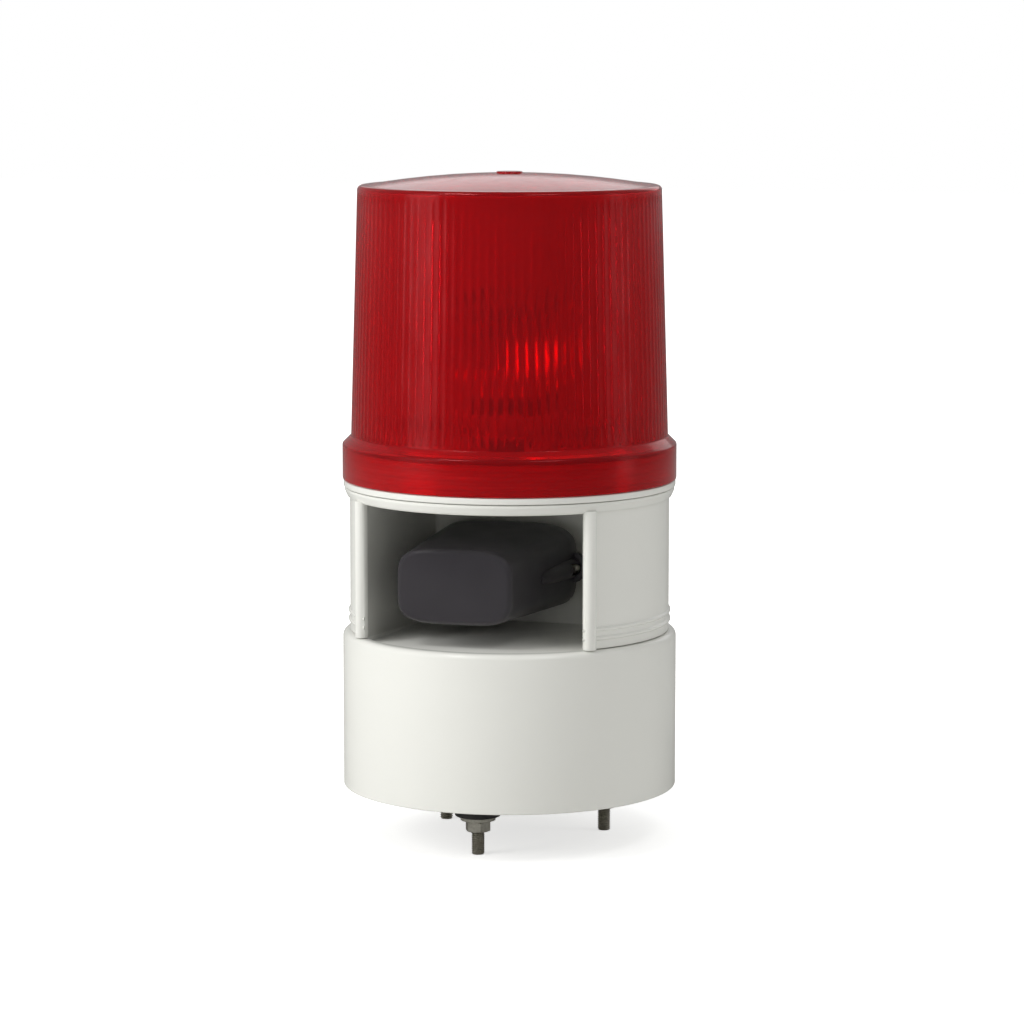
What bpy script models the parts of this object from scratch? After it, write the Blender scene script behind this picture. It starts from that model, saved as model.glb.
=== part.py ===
"""Alarm siren: a rotating beacon under a red screw-on lens, on top of an electronic siren
that sounds through a window in its housing, on a round base fixed by three bolts.

Metres, +Z up. The origin is the centre of the plane that the base's rim rests on, and
-Y is the front, where the window is. Run it with blender --background --python part.py.
"""

from math import acos, ceil, cos, pi, radians, sin, tan

import bmesh
import bpy

MM = 0.001
GAP = 0.3 * MM  # between two pieces that touch
ROUND = 42  # sides of the large turned pieces
MEDIUM_ROUND = 20
SMALL_ROUND = 16
HOLE_ROUND = 17  # odd, so that a hole's corners miss those of the piece it cuts
SEAT_ROUND = 19  # of a seat round such a hole

# Base cup, and the plate that closes it from below.
BASE_RADIUS = 75.0 * MM
BASE_HEIGHT = 70.5 * MM
BASE_WALL = 2.8 * MM
BASE_SHOULDER = 3.7 * MM
LIP_WIDTH = 5.5 * MM
LIP_DEPTH = 7.5 * MM
RIM_WIDTH = 4.0 * MM
PLATE_THICKNESS = 2.0 * MM
PLATE_RECESS = 3.0 * MM
LEDGE_WIDTH = 11.5 * MM
LEDGE_THICKNESS = 3.0 * MM
PLATE_SCREW_INSET = 8.0 * MM
PLATE_SCREW_ANGLES = (-30, 90, 210)
PLATE_SCREW_LENGTH = 10.0 * MM
EDGE_CHAMFER = 0.6 * MM
SEAT_EDGE = 2.0 * MM  # of the gasket's seat, and the slope under it
SEAT_HAUNCH = 6.0 * MM
CABLE_HOLE_RADIUS = 8.0 * MM
GROMMET_FLANGE = 2.2 * MM
GROMMET_WALL = 3.0 * MM
GROMMET_CHAMFER = 0.8 * MM

# The three M6 bolts that hold the siren on its panel, and what is on them.
BOLT_CIRCLE_RADIUS = 44.0 * MM
BOLT_ANGLES = (-90, 30, 150)
BOLT_RADIUS = 3.0 * MM
BOLT_CHAMFER = 0.7 * MM
BOLT_LENGTH_BELOW = 24.4 * MM
HEX_ACROSS_FLATS = 10.0 * MM
BOLT_HEAD_HEIGHT = 4.0 * MM
NUT_HEIGHT = 4.8 * MM
FLAT_WASHER_RADIUS = 7.8 * MM
FLAT_WASHER_THICKNESS = 1.6 * MM
RUBBER_WASHER_RADIUS = 10.5 * MM
RUBBER_WASHER_REACH = 7.0 * MM

# Siren housing: a drum with a window, and the chamber behind it.
DRUM_RADIUS = BASE_RADIUS - 3.3 * MM
DRUM_WALL = 2.6 * MM
DRUM_HEIGHT = 60.7 * MM
FLOOR_THICKNESS = 3.0 * MM
FLOOR_BELOW_LIP = 1.8 * MM
WINDOW_HALF_ANGLE = radians(45)
CHAMBER_WALL = 2.5 * MM
CHAMBER_TAPER = 0.0711 * DRUM_RADIUS  # narrower at the back by this on each side
CHAMBER_BACK_Y = 0.4184 * DRUM_RADIUS
LINTEL = 0.5 * MM  # of the drum's wall, left above the window
COLLAR_HEIGHT = 4.2 * MM
COLLAR_STEP = 1.0 * MM
COLLAR_FLARE = 1.3 * MM
POST_RADIUS = 3.0 * MM
BEAD_HEIGHTS = (4.7 * MM, 8.7 * MM)  # above the foot of the drum
BEAD_HEIGHT = 2.0 * MM
BEAD_PROUD = 0.8 * MM
WIRE_HOLE_RADIUS = 5.0 * MM
WIRE_HOLE_Y = 50.0 * MM
GASKET_THICKNESS = 2.1 * MM
GASKET_WIDTH = 2.6 * MM
HOUSING_SCREW_ANGLES = (-90, 30, 150)
HOUSING_SCREW_RADIUS = BASE_RADIUS - 15.0 * MM
HOUSING_SCREW_LENGTH = 13.0 * MM
HOUSING_BOSS_RADIUS = 4.5 * MM
HOUSING_ARM_HEIGHT = 9.0 * MM
HOUSING_ARM_START = 1.3 * MM  # inward of the boss's middle
HOUSING_HOLE_DEPTH = 5.4 * MM

# The siren itself: a hood with a domed nose over a driver.
HOOD_X = -0.1032 * DRUM_RADIUS
HOOD_NOSE_Y = -0.7531 * DRUM_RADIUS
HOOD_REAR_Y = 0.2789 * DRUM_RADIUS
HOOD_NOSE_HALF = (0.3724 * DRUM_RADIUS, 16.7 * MM)
HOOD_REAR_HALF = (0.4630 * DRUM_RADIUS, 19.6 * MM)
HOOD_NOSE_Z = 27.5 * MM  # above the chamber's floor
HOOD_REAR_Z = 28.0 * MM
HOOD_DOME = 3.2 * MM
HOOD_WALL = 2.4 * MM
HOOD_SQUARENESS = 4.2  # exponent of the section's superellipse
HOOD_SLOTS = 4
HOOD_SLOT_WIDTH = 4.0 * MM
HOOD_SLOT_LENGTH = 32.0 * MM
HOOD_SLOT_PITCH = 8.8 * MM
HOOD_SLOT_FORWARD = 6.0 * MM  # of the hood's middle
LUG_REACH = 0.4603 * DRUM_RADIUS
LUG_RADIUS = 4.2 * MM
LUG_HALF_HEIGHT = 6.6 * MM
LUG_THICKNESS = 4.0 * MM
LUG_ROOT = 3.0 * MM  # that each lug runs into the hood's side
LUG_SEAT_DEPTH = 9.0 * MM
FIN_ROOT = (1.2 * MM, 4.8 * MM, 5.0 * MM)  # inward of the lug, half width, half height
FIN_TIP = (4.2 * MM, 2.6 * MM, 2.6 * MM)
FIN_LENGTH = 40.0 * MM
SIREN_SCREW_LENGTH = 11.0 * MM
DRIVER_INSET = 6.0 * MM  # from the hood's rear
DRIVER_THICKNESS = 3.0 * MM
MAGNET_RADIUS = 15.0 * MM
MAGNET_LENGTH = 12.0 * MM
DIAPHRAGM_RADIUS = 14.0 * MM
DIAPHRAGM_DOME = 4.0 * MM
DIAPHRAGM_RIM = 1.0 * MM

# Sound board, hung under the housing's floor.
BOARD_SIZE = (90.0 * MM, 76.0 * MM)
BOARD_THICKNESS = 1.6 * MM
BOARD_DROP = 16.0 * MM
BOARD_BOSS_RADIUS = 3.6 * MM
BOARD_BOSSES = ((-38.0 * MM, -26.0 * MM), (38.0 * MM, -26.0 * MM), (0.0, 30.0 * MM))
BOARD_CORNER = 3.0 * MM
BOARD_SCREW_LENGTH = 10.0 * MM
BOARD_PIECE_EDGE = 0.8 * MM
BOARD_PIECES = (  # name, size, middle, finish
    ("terminal_block", (30.0 * MM, 10.0 * MM, 12.0 * MM), (0.0, -30.0 * MM), "board_green"),
    ("transformer", (32.0 * MM, 27.0 * MM, 24.0 * MM), (-20.0 * MM, 2.0 * MM), "ferrite"),
    ("heat_sink", (6.0 * MM, 30.0 * MM, 20.0 * MM), (32.0 * MM, 2.0 * MM), "aluminium"),
)
CAPACITOR_RADIUS = 8.0 * MM
CAPACITOR_LENGTH = 25.0 * MM
CAPACITOR_PLACE = (14.0 * MM, 8.0 * MM)

# Lamp base: the deck over the chamber and the threaded spigot that holds the lens.
LAMP_RIM_RADIUS = BASE_RADIUS - 0.5 * MM
LAMP_RIM_HEIGHT = 2.9 * MM
LAMP_RIM_CHAMFER = 0.5 * MM
DECK_THICKNESS = 2.5 * MM
SPIGOT_RADIUS = BASE_RADIUS - 4.0 * MM
SPIGOT_WALL = 2.8 * MM
SPIGOT_HEIGHT = 14.0 * MM
THREAD_PITCH = 4.0 * MM
THREAD_DEPTH = 0.9 * MM
THREAD_TURNS = 3
DECK_SCREW_RADIUS = DRUM_RADIUS - 13.7 * MM
DECK_SCREW_GRIP = 3.0 * MM  # below the deck

# Lens: flange, chamfer, tapering barrel and crown.
LENS_FLANGE_RADIUS = BASE_RADIUS - 0.1 * MM
LENS_FLANGE_HEIGHT = 15.7 * MM
LENS_CHAMFER = 3.8 * MM
LENS_BARREL_RADIUS = SPIGOT_RADIUS
LENS_TOP_RADIUS = LENS_BARREL_RADIUS - 3.2 * MM
LENS_HEIGHT = 136.1 * MM
LENS_CROWN_RISE = 5.6 * MM
LENS_CORNER = 2.6 * MM
LENS_WALL = 2.4 * MM
LENS_BOSS_RADIUS = 5.8 * MM
LENS_BOSS_HEIGHT = 0.7 * MM
LENS_GASKET_THICKNESS = 1.9 * MM

# Beacon: a fixed bulb, and a reflector that turns round it on a gear.
MECHANISM_HEIGHT = 20.0 * MM
MECHANISM_PLATE = 1.5 * MM
MECHANISM_HALF_WIDTH = 19.0 * MM
MECHANISM_FRONT_Y = -18.0 * MM
MECHANISM_BACK_Y = 46.0 * MM
MECHANISM_CORNER = 4.0 * MM
MECHANISM_BOSSES = ((-15.8 * MM, -14.2 * MM), (15.8 * MM, -14.2 * MM), (0.0, 41.0 * MM))
MECHANISM_BOSS_RADIUS = 3.6 * MM
MECHANISM_SCREW_LENGTH = 9.0 * MM
MECHANISM_HOLE_START = 3.0 * MM  # above the deck
SOCKET_RADIUS = 9.0 * MM
SOCKET_HEIGHT = 35.5 * MM
BEARING_WALL = 1.7 * MM
BEARING_FLANGE = (14.0 * MM, 1.4 * MM)  # radius, thickness
GEAR_MODULE = 1.0 * MM
GEAR_TEETH = 34
PINION_TEETH = 12
GEAR_THICKNESS = 5.0 * MM
PRESSURE_ANGLE = radians(25)
ADDENDUM = 0.8  # in modules
DEDENDUM = 1.1
BACKLASH = 0.24 * MM
MOTOR_RADIUS = 12.0 * MM
MOTOR_LENGTH = 17.5 * MM
MOTOR_SHAFT_RADIUS = 1.2 * MM
MOTOR_SCREW_REACH = 8.0 * MM
MOTOR_SCREW_DEPTH = 4.0 * MM
MOTOR_HOLE_DEPTH = 5.0 * MM
MOTOR_BOSS_RADIUS = 3.0 * MM
REFLECTOR_RADIUS = 24.0 * MM
REFLECTOR_FOCUS = 16.0 * MM
REFLECTOR_WALL = 1.6 * MM
REFLECTOR_RISE = 33.0 * MM  # from the gear's top to the reflector's axis
REFLECTOR_STEM_HALF_WIDTH = 7.0 * MM
REFLECTOR_STEM_THICKNESS = 1.7 * MM
REFLECTOR_STEM_OVERLAP = 5.0 * MM
REFLECTOR_FOOT_HEIGHT = 2.0 * MM
REFLECTOR_SCREW_ANGLES = (66, 114)
REFLECTOR_SCREW_LENGTH = 5.0 * MM
REFLECTOR_SCREW_HEAD = (1.5 * MM, 1.0 * MM)
NECK_CLEARANCE = 1.8 * MM  # of the reflector's notch round the bulb's neck
BULB_CAP_RADIUS = 7.5 * MM
BULB_CAP_HEIGHT = 13.7 * MM
BULB_RADIUS = 12.0 * MM
BULB_NECK_HEIGHT = 1.5 * MM
BULB_RISE = 3.0 * MM  # of the globe's lowest point over the cap

M4_RADIUS = 1.9 * MM
M4_HEAD = (3.6 * MM, 2.3 * MM)  # radius, height
M3_RADIUS = 1.4 * MM
M3_HEAD = (2.85 * MM, 2.0 * MM)
M3_LOW_HEAD = (2.85 * MM, 1.4 * MM)
ROOT = 1.0 * MM  # that a boss runs into what it stands on

# Heights that follow from the sizes above.
PLATE_TOP = PLATE_RECESS + PLATE_THICKNESS
LIP_INNER_RADIUS = BASE_RADIUS - LIP_WIDTH
SEAT_TOP = BASE_HEIGHT - LIP_DEPTH
FLOOR_TOP = BASE_HEIGHT - FLOOR_BELOW_LIP
FLOOR_UNDER = FLOOR_TOP - FLOOR_THICKNESS
DRUM_FOOT = BASE_HEIGHT + GAP
DRUM_TOP = BASE_HEIGHT + DRUM_HEIGHT
HOUSING_TOP = DRUM_TOP + COLLAR_HEIGHT
LAMP_UNDER = HOUSING_TOP + GAP
DECK_TOP = LAMP_UNDER + DECK_THICKNESS
LAMP_RIM_TOP = LAMP_UNDER + LAMP_RIM_HEIGHT
SPIGOT_TOP = DECK_TOP + SPIGOT_HEIGHT
LENS_FOOT = LAMP_RIM_TOP + GAP
LENS_SHELF = SPIGOT_TOP + 2 * GAP + LENS_GASKET_THICKNESS
MECHANISM_UNDER = DECK_TOP + MECHANISM_HEIGHT + GAP
MECHANISM_TOP = MECHANISM_UNDER + MECHANISM_PLATE
GEAR_UNDER = MECHANISM_TOP + BEARING_FLANGE[1] + 2 * GAP
GEAR_TOP = GEAR_UNDER + GEAR_THICKNESS
GEAR_ROOT_RADIUS = GEAR_MODULE * (GEAR_TEETH / 2 - DEDENDUM)
GEAR_DISTANCE = GEAR_MODULE * (GEAR_TEETH + PINION_TEETH) / 2
BEARING_RADIUS = SOCKET_RADIUS + GAP + BEARING_WALL
BOARD_TOP = FLOOR_UNDER - BOARD_DROP - GAP
HOUSING_BOSS_TOP = SEAT_TOP - GAP
HOUSING_ARM_UNDER = HOUSING_BOSS_TOP - HOUSING_ARM_HEIGHT
LUG_Z = FLOOR_TOP + HOOD_REAR_Z
LUG_BACK_Y = HOOD_REAR_Y - 0.2 * MM
LUG_SEAT_Y = LUG_BACK_Y - LUG_THICKNESS + 0.4 * MM


# ---- materials ---------------------------------------------------------------------


def material(name, colour, roughness, metallic=0.0, transmission=0.0):
    made = bpy.data.materials.new(name)
    made.use_nodes = True
    made.diffuse_color = (*colour, 1.0)
    surface = made.node_tree.nodes["Principled BSDF"]
    surface.inputs["Base Color"].default_value = (*colour, 1.0)
    surface.inputs["Roughness"].default_value = roughness
    surface.inputs["Metallic"].default_value = metallic
    surface.inputs["Transmission Weight"].default_value = transmission
    return made


FINISHES = {
    "white_plastic": ((0.72, 0.73, 0.68), 0.35, 0.0, 0.0),
    "red_lens": ((0.45, 0.006, 0.012), 0.12, 0.0, 0.6),
    "black_plastic": ((0.014, 0.013, 0.014), 0.45, 0.0, 0.0),
    "rubber": ((0.01, 0.01, 0.01), 0.75, 0.0, 0.0),
    "zinc_steel": ((0.50, 0.49, 0.45), 0.35, 1.0, 0.0),
    "chrome": ((0.85, 0.85, 0.86), 0.06, 1.0, 0.0),
    "brass": ((0.72, 0.52, 0.24), 0.25, 1.0, 0.0),
    "glass": ((0.95, 0.95, 0.93), 0.03, 0.0, 1.0),
    "board_green": ((0.02, 0.14, 0.05), 0.4, 0.0, 0.0),
    "natural_nylon": ((0.62, 0.60, 0.52), 0.5, 0.0, 0.0),
    "ferrite": ((0.05, 0.05, 0.055), 0.6, 0.0, 0.0),
    "aluminium": ((0.60, 0.61, 0.62), 0.4, 1.0, 0.0),
    "paper_cone": ((0.05, 0.05, 0.05), 0.8, 0.0, 0.0),
}


# ---- modelling helpers ---------------------------------------------------------------


def start_scene():
    """Clears the scene and returns the collections for the parts and for the cutters."""
    for thing in list(bpy.data.objects):
        bpy.data.objects.remove(thing, do_unlink=True)
    made = []
    for name in ("alarm_siren", "cutters"):
        made.append(bpy.data.collections.new(name))
        bpy.context.scene.collection.children.link(made[-1])
    return made


PARTS, CUTTERS = start_scene()


def circle(radius, sides=SMALL_ROUND, centre=(0.0, 0.0)):
    return [
        (centre[0] + radius * cos(2 * pi * i / sides), centre[1] + radius * sin(2 * pi * i / sides))
        for i in range(sides)
    ]


def arc(centre, radius, start, end, steps):
    """Points of an arc in a profile's plane, from one angle to another."""
    return [
        (
            centre[0] + radius * cos(start + (end - start) * i / steps),
            centre[1] + radius * sin(start + (end - start) * i / steps),
        )
        for i in range(steps + 1)
    ]


def rounded_rectangle(x0, y0, x1, y1, radius, steps=4):
    corners = ((x1, y1, 0), (x0, y1, 1), (x0, y0, 2), (x1, y0, 3))
    points = []
    for x, y, quarter in corners:
        centre = (x - radius if x == x1 else x + radius, y - radius if y == y1 else y + radius)
        points += arc(centre, radius, quarter * pi / 2, (quarter + 1) * pi / 2, steps)
    return points


def hexagon(across_flats):
    return circle(across_flats / 2 / cos(pi / 6), 6)


def polar(radius, degrees):
    return (radius * cos(radians(degrees)), radius * sin(radians(degrees)))


def add(name, data, finish, at=(0.0, 0.0, 0.0), turn=(0.0, 0.0, 0.0)):
    """Links an object as a part, or as a helper when it has no finish."""
    made = bpy.data.objects.new(name, data)
    made.location = at
    made.rotation_euler = turn
    if finish:
        PARTS.objects.link(made)
        data.materials.append(material(name, *FINISHES[finish]))
    else:
        CUTTERS.objects.link(made)
        made.hide_render = True
        made.display_type = "WIRE"
    return made


def turned(name, profile, finish=None, at=(0.0, 0.0, 0.0), turn=(0.0, 0.0, 0.0), sides=SMALL_ROUND):
    """A profile of (radius, height) turned about Z. It runs down the outer side, and
    closes on itself unless it starts and ends on the axis."""
    mesh = bpy.data.meshes.new(name)
    count = len(profile)
    edges = [(i, i + 1) for i in range(count - 1)]
    if profile[0][0] > 0:
        edges.append((count - 1, 0))
    mesh.from_pydata([(radius, 0.0, height) for radius, height in profile], edges, [])
    made = add(name, mesh, finish, at, turn)
    screw = made.modifiers.new("Turn", "SCREW")
    screw.steps = sides
    screw.render_steps = sides
    screw.use_merge_vertices = True
    screw.merge_threshold = 0.000001
    screw.use_smooth_shade = True
    return made


def rod(name, radius, length, finish=None, at=(0.0, 0.0, 0.0), turn=(0.0, 0.0, 0.0), sides=HOLE_ROUND):
    profile = [(0.0, length), (radius, length), (radius, 0.0), (0.0, 0.0)]
    return turned(name, profile, finish, at, turn, sides)


def ring(name, outer, inner, height, finish, at, sides=SMALL_ROUND):
    profile = [(inner, height), (outer, height), (outer, 0.0), (inner, 0.0)]
    return turned(name, profile, finish, at, sides=sides)


def flat(name, loops, thickness, finish=None, at=(0.0, 0.0, 0.0), turn=(0.0, 0.0, 0.0)):
    """A flat piece that stands on z = 0: its first loop is the outline, the rest are holes."""
    curve = bpy.data.curves.new(name, "CURVE")
    curve.dimensions = "2D"
    curve.fill_mode = "BOTH"
    curve.extrude = thickness / 2
    for loop in loops:
        spline = curve.splines.new("POLY")
        spline.points.add(len(loop) - 1)
        for point, (x, y) in zip(spline.points, loop):
            point.co = (x, y, 0.0, 1.0)
        spline.use_cyclic_u = True
    made = add(name, curve, None)
    bpy.context.view_layer.update()
    mesh = bpy.data.meshes.new_from_object(made.evaluated_get(bpy.context.evaluated_depsgraph_get()))
    shape = bmesh.new()
    shape.from_mesh(mesh)
    bmesh.ops.translate(shape, verts=shape.verts, vec=(0.0, 0.0, thickness / 2))
    bmesh.ops.remove_doubles(shape, verts=shape.verts, dist=0.000001)
    bmesh.ops.recalc_face_normals(shape, faces=shape.faces)
    shape.to_mesh(mesh)
    shape.free()
    bpy.data.objects.remove(made)
    mesh.name = name
    return add(name, mesh, finish, at, turn)


def block(name, size, finish=None, at=(0.0, 0.0, 0.0), bevel=0.0):
    """A box that stands on its location, with its edges rounded where bevel is set."""
    mesh = bpy.data.meshes.new(name)
    shape = bmesh.new()
    bmesh.ops.create_cube(shape, size=1.0)
    bmesh.ops.translate(shape, verts=shape.verts, vec=(0.0, 0.0, 0.5))
    bmesh.ops.scale(shape, verts=shape.verts, vec=size)
    shape.to_mesh(mesh)
    shape.free()
    made = add(name, mesh, finish, at)
    if bevel:
        edge = made.modifiers.new("Edges", "BEVEL")
        edge.width = bevel
        edge.segments = 2
    return made


def loft(name, sections, finish=None):
    """A closed skin through sections of equal point counts, each a list of points."""
    mesh = bpy.data.meshes.new(name)
    shape = bmesh.new()
    rings = [[shape.verts.new(point) for point in section] for section in sections]
    for first, second in zip(rings, rings[1:]):
        for i in range(len(first)):
            j = (i + 1) % len(first)
            shape.faces.new((first[i], first[j], second[j], second[i]))
    shape.faces.new(rings[0])
    shape.faces.new(rings[-1])
    bmesh.ops.recalc_face_normals(shape, faces=shape.faces)
    shape.to_mesh(mesh)
    shape.free()
    return add(name, mesh, finish)


def combine(target, helpers, operation):
    for helper in helpers:
        change = target.modifiers.new(helper.name, "BOOLEAN")
        change.operation = operation
        change.solver = "EXACT"
        change.object = helper
    return target


def cut(target, *helpers):
    return combine(target, helpers, "DIFFERENCE")


def join(target, *helpers):
    return combine(target, helpers, "UNION")


def pan_screw(name, radius, head, length, at, turn=(0.0, 0.0, 0.0)):
    """A pan-head screw whose head's underside is at its location, with the head above."""
    head_radius, head_height = head
    profile = [
        (0.0, head_height),
        (0.7 * head_radius, head_height),
        (head_radius, 0.5 * head_height),
        (head_radius, 0.0),
        (radius, 0.0),
        (radius, -length),
        (0.0, -length),
    ]
    return turned(name, profile, "zinc_steel", at, turn, 10)


def joint_axis(name, at, pieces):
    """An empty on a joint's axis that carries the pieces which move with it."""
    axis = bpy.data.objects.new(name, None)
    axis.empty_display_size = 0.01
    axis.location = at
    PARTS.objects.link(axis)
    for piece in pieces:
        piece.parent = axis
        piece.location = [piece.location[i] - at[i] for i in range(3)]
    return axis


UPSIDE_DOWN = (pi, 0.0, 0.0)
FACING_FRONT = (pi / 2, 0.0, 0.0)  # turns +Z to -Y


# ---- base ----------------------------------------------------------------------------


def make_base_cup():
    inner = BASE_RADIUS - BASE_WALL
    pocket = BASE_RADIUS - RIM_WIDTH
    ledge = BASE_RADIUS - LEDGE_WIDTH
    ledge_under = PLATE_TOP + GAP
    ledge_top = ledge_under + LEDGE_THICKNESS
    seat_inner = LIP_INNER_RADIUS - GASKET_WIDTH - 2 * GAP
    shoulder = (BASE_RADIUS - BASE_SHOULDER, BASE_HEIGHT - BASE_SHOULDER)
    profile = [
        (LIP_INNER_RADIUS, BASE_HEIGHT),
        *arc(shoulder, BASE_SHOULDER, pi / 2, 0.0, 3),
        (BASE_RADIUS, EDGE_CHAMFER),
        (BASE_RADIUS - EDGE_CHAMFER, 0.0),
        (pocket, 0.0),
        (pocket, ledge_under),
        (ledge, ledge_under),
        (ledge, ledge_top),
        (inner, ledge_top),
        (inner, SEAT_TOP - SEAT_HAUNCH),
        (seat_inner, SEAT_TOP - SEAT_EDGE),
        (seat_inner, SEAT_TOP),
        (LIP_INNER_RADIUS, SEAT_TOP),
    ]
    cup = turned("base_cup", profile, "white_plastic", sides=ROUND)
    for number, degrees in enumerate(HOUSING_SCREW_ANGLES, 1):
        x, y = polar(HOUSING_SCREW_RADIUS, degrees)
        arm_start = HOUSING_SCREW_RADIUS - HOUSING_ARM_START
        reach = inner + BASE_WALL / 2 - arm_start
        arm_size = (reach, 1.7 * HOUSING_BOSS_RADIUS, HOUSING_ARM_HEIGHT - 0.4 * MM)
        arm = block(f"arm_{number}", arm_size)
        middle = polar(arm_start + reach / 2, degrees)
        arm.location = (*middle, HOUSING_ARM_UNDER)
        arm.rotation_euler = (0.0, 0.0, radians(degrees))
        height = HOUSING_ARM_HEIGHT - ROOT
        boss = rod(f"arm_end_{number}", HOUSING_BOSS_RADIUS, height, sides=SMALL_ROUND)
        boss.location = (x, y, HOUSING_ARM_UNDER + ROOT)
        hole = rod(f"arm_hole_{number}", M4_RADIUS + GAP, 2 * HOUSING_ARM_HEIGHT)
        hole.location = (x, y, HOUSING_ARM_UNDER - HOUSING_ARM_HEIGHT / 2)
        join(cup, arm, boss)
        cut(cup, hole)
    for number, degrees in enumerate(PLATE_SCREW_ANGLES, 1):
        hole = rod(f"ledge_hole_{number}", M4_RADIUS + GAP, 3 * LEDGE_THICKNESS)
        x, y = polar(BASE_RADIUS - PLATE_SCREW_INSET, degrees)
        hole.location = (x, y, ledge_under - LEDGE_THICKNESS)
        cut(cup, hole)


def make_base_plate():
    loops = [circle(BASE_RADIUS - RIM_WIDTH - GAP, ROUND), circle(CABLE_HOLE_RADIUS)]
    loops += [circle(BOLT_RADIUS + GAP, 16, polar(BOLT_CIRCLE_RADIUS, a)) for a in BOLT_ANGLES]
    screw_circle = BASE_RADIUS - PLATE_SCREW_INSET
    loops += [circle(M4_RADIUS + GAP, 16, polar(screw_circle, a)) for a in PLATE_SCREW_ANGLES]
    flat("base_plate", loops, PLATE_THICKNESS, "zinc_steel", (0.0, 0.0, PLATE_RECESS))
    for number, degrees in enumerate(PLATE_SCREW_ANGLES, 1):
        at = (*polar(screw_circle, degrees), PLATE_RECESS - GAP)
        pan_screw(f"plate_screw_{number}", M4_RADIUS, M4_HEAD, PLATE_SCREW_LENGTH, at, UPSIDE_DOWN)


def make_cable_grommet():
    """A rubber ring that grips the base plate round the cable's hole."""
    neck = CABLE_HOLE_RADIUS - GAP
    flange = CABLE_HOLE_RADIUS + GROMMET_FLANGE
    bore = CABLE_HOLE_RADIUS - GROMMET_WALL
    low, high = PLATE_RECESS - GROMMET_FLANGE, PLATE_TOP + GROMMET_FLANGE
    profile = [
        (bore, high),
        (flange - GROMMET_CHAMFER, high),
        (flange, high - GROMMET_CHAMFER),
        (flange, PLATE_TOP + GAP),
        (neck, PLATE_TOP + GAP),
        (neck, PLATE_RECESS - GAP),
        (flange, PLATE_RECESS - GAP),
        (flange, low + GROMMET_CHAMFER),
        (flange - GROMMET_CHAMFER, low),
        (bore, low),
    ]
    turned("cable_grommet", profile, "rubber")


def make_bolt(number, x, y):
    """A bolt with its washers and nut, as they hang under the base before it is fitted."""
    shank_length = BOLT_LENGTH_BELOW + PLATE_TOP + GAP + BOLT_HEAD_HEIGHT / 2
    profile = [
        (0.0, shank_length),
        (BOLT_RADIUS, shank_length),
        (BOLT_RADIUS, BOLT_CHAMFER),
        (BOLT_RADIUS - BOLT_CHAMFER, 0.0),
        (0.0, 0.0),
    ]
    shank = turned(f"bolt_shank_{number}", profile, at=(x, y, -BOLT_LENGTH_BELOW))
    head_at = (x, y, PLATE_TOP + GAP)
    head_outline = hexagon(HEX_ACROSS_FLATS)
    head = flat(f"mounting_bolt_{number}", [head_outline], BOLT_HEAD_HEIGHT, "zinc_steel", head_at)
    join(head, shank)
    bore = BOLT_RADIUS + GAP
    rubber_height = PLATE_RECESS - GAP + RUBBER_WASHER_REACH
    rubber_at = (x, y, -RUBBER_WASHER_REACH)
    ring(f"rubber_washer_{number}", RUBBER_WASHER_RADIUS, bore, rubber_height, "rubber", rubber_at)
    washer_at = (x, y, -RUBBER_WASHER_REACH - GAP - FLAT_WASHER_THICKNESS)
    washer = (FLAT_WASHER_RADIUS, bore, FLAT_WASHER_THICKNESS)
    ring(f"flat_washer_{number}", *washer, "zinc_steel", washer_at)
    nut_loops = [hexagon(HEX_ACROSS_FLATS), circle(bore)]
    nut_at = (x, y, washer_at[2] - GAP - NUT_HEIGHT)
    flat(f"hex_nut_{number}", nut_loops, NUT_HEIGHT, "zinc_steel", nut_at)


# ---- siren housing -------------------------------------------------------------------


def chamber_outline(offset):
    """Plan of the chamber, open to the front, grown outward by an offset."""
    side = DRUM_RADIUS * sin(WINDOW_HALF_ANGLE) + offset
    mouth = -DRUM_RADIUS * cos(WINDOW_HALF_ANGLE)
    back = side - CHAMBER_TAPER
    front = -1.2 * BASE_RADIUS
    half = [(side, front), (side, mouth), (back, CHAMBER_BACK_Y + offset)]
    return half + [(-x, y) for x, y in reversed(half)]


def drum_profile():
    """The drum's outline, down its outer side from the axis at the top."""
    collar_foot = DRUM_RADIUS + COLLAR_STEP
    profile = [
        (0.0, HOUSING_TOP),
        (collar_foot + COLLAR_FLARE, HOUSING_TOP),
        (collar_foot + COLLAR_FLARE, HOUSING_TOP - 0.3 * COLLAR_HEIGHT),
        (collar_foot, DRUM_TOP),
        (DRUM_RADIUS, DRUM_TOP),
    ]
    for middle in reversed(BEAD_HEIGHTS):
        z = DRUM_FOOT + middle
        profile += [
            (DRUM_RADIUS, z + BEAD_HEIGHT / 2),
            (DRUM_RADIUS + BEAD_PROUD, z),
            (DRUM_RADIUS, z - BEAD_HEIGHT / 2),
        ]
    spigot = LIP_INNER_RADIUS - GAP
    return profile + [
        (DRUM_RADIUS, DRUM_FOOT),
        (spigot, DRUM_FOOT),
        (spigot, FLOOR_UNDER),
        (0.0, FLOOR_UNDER),
    ]


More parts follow.
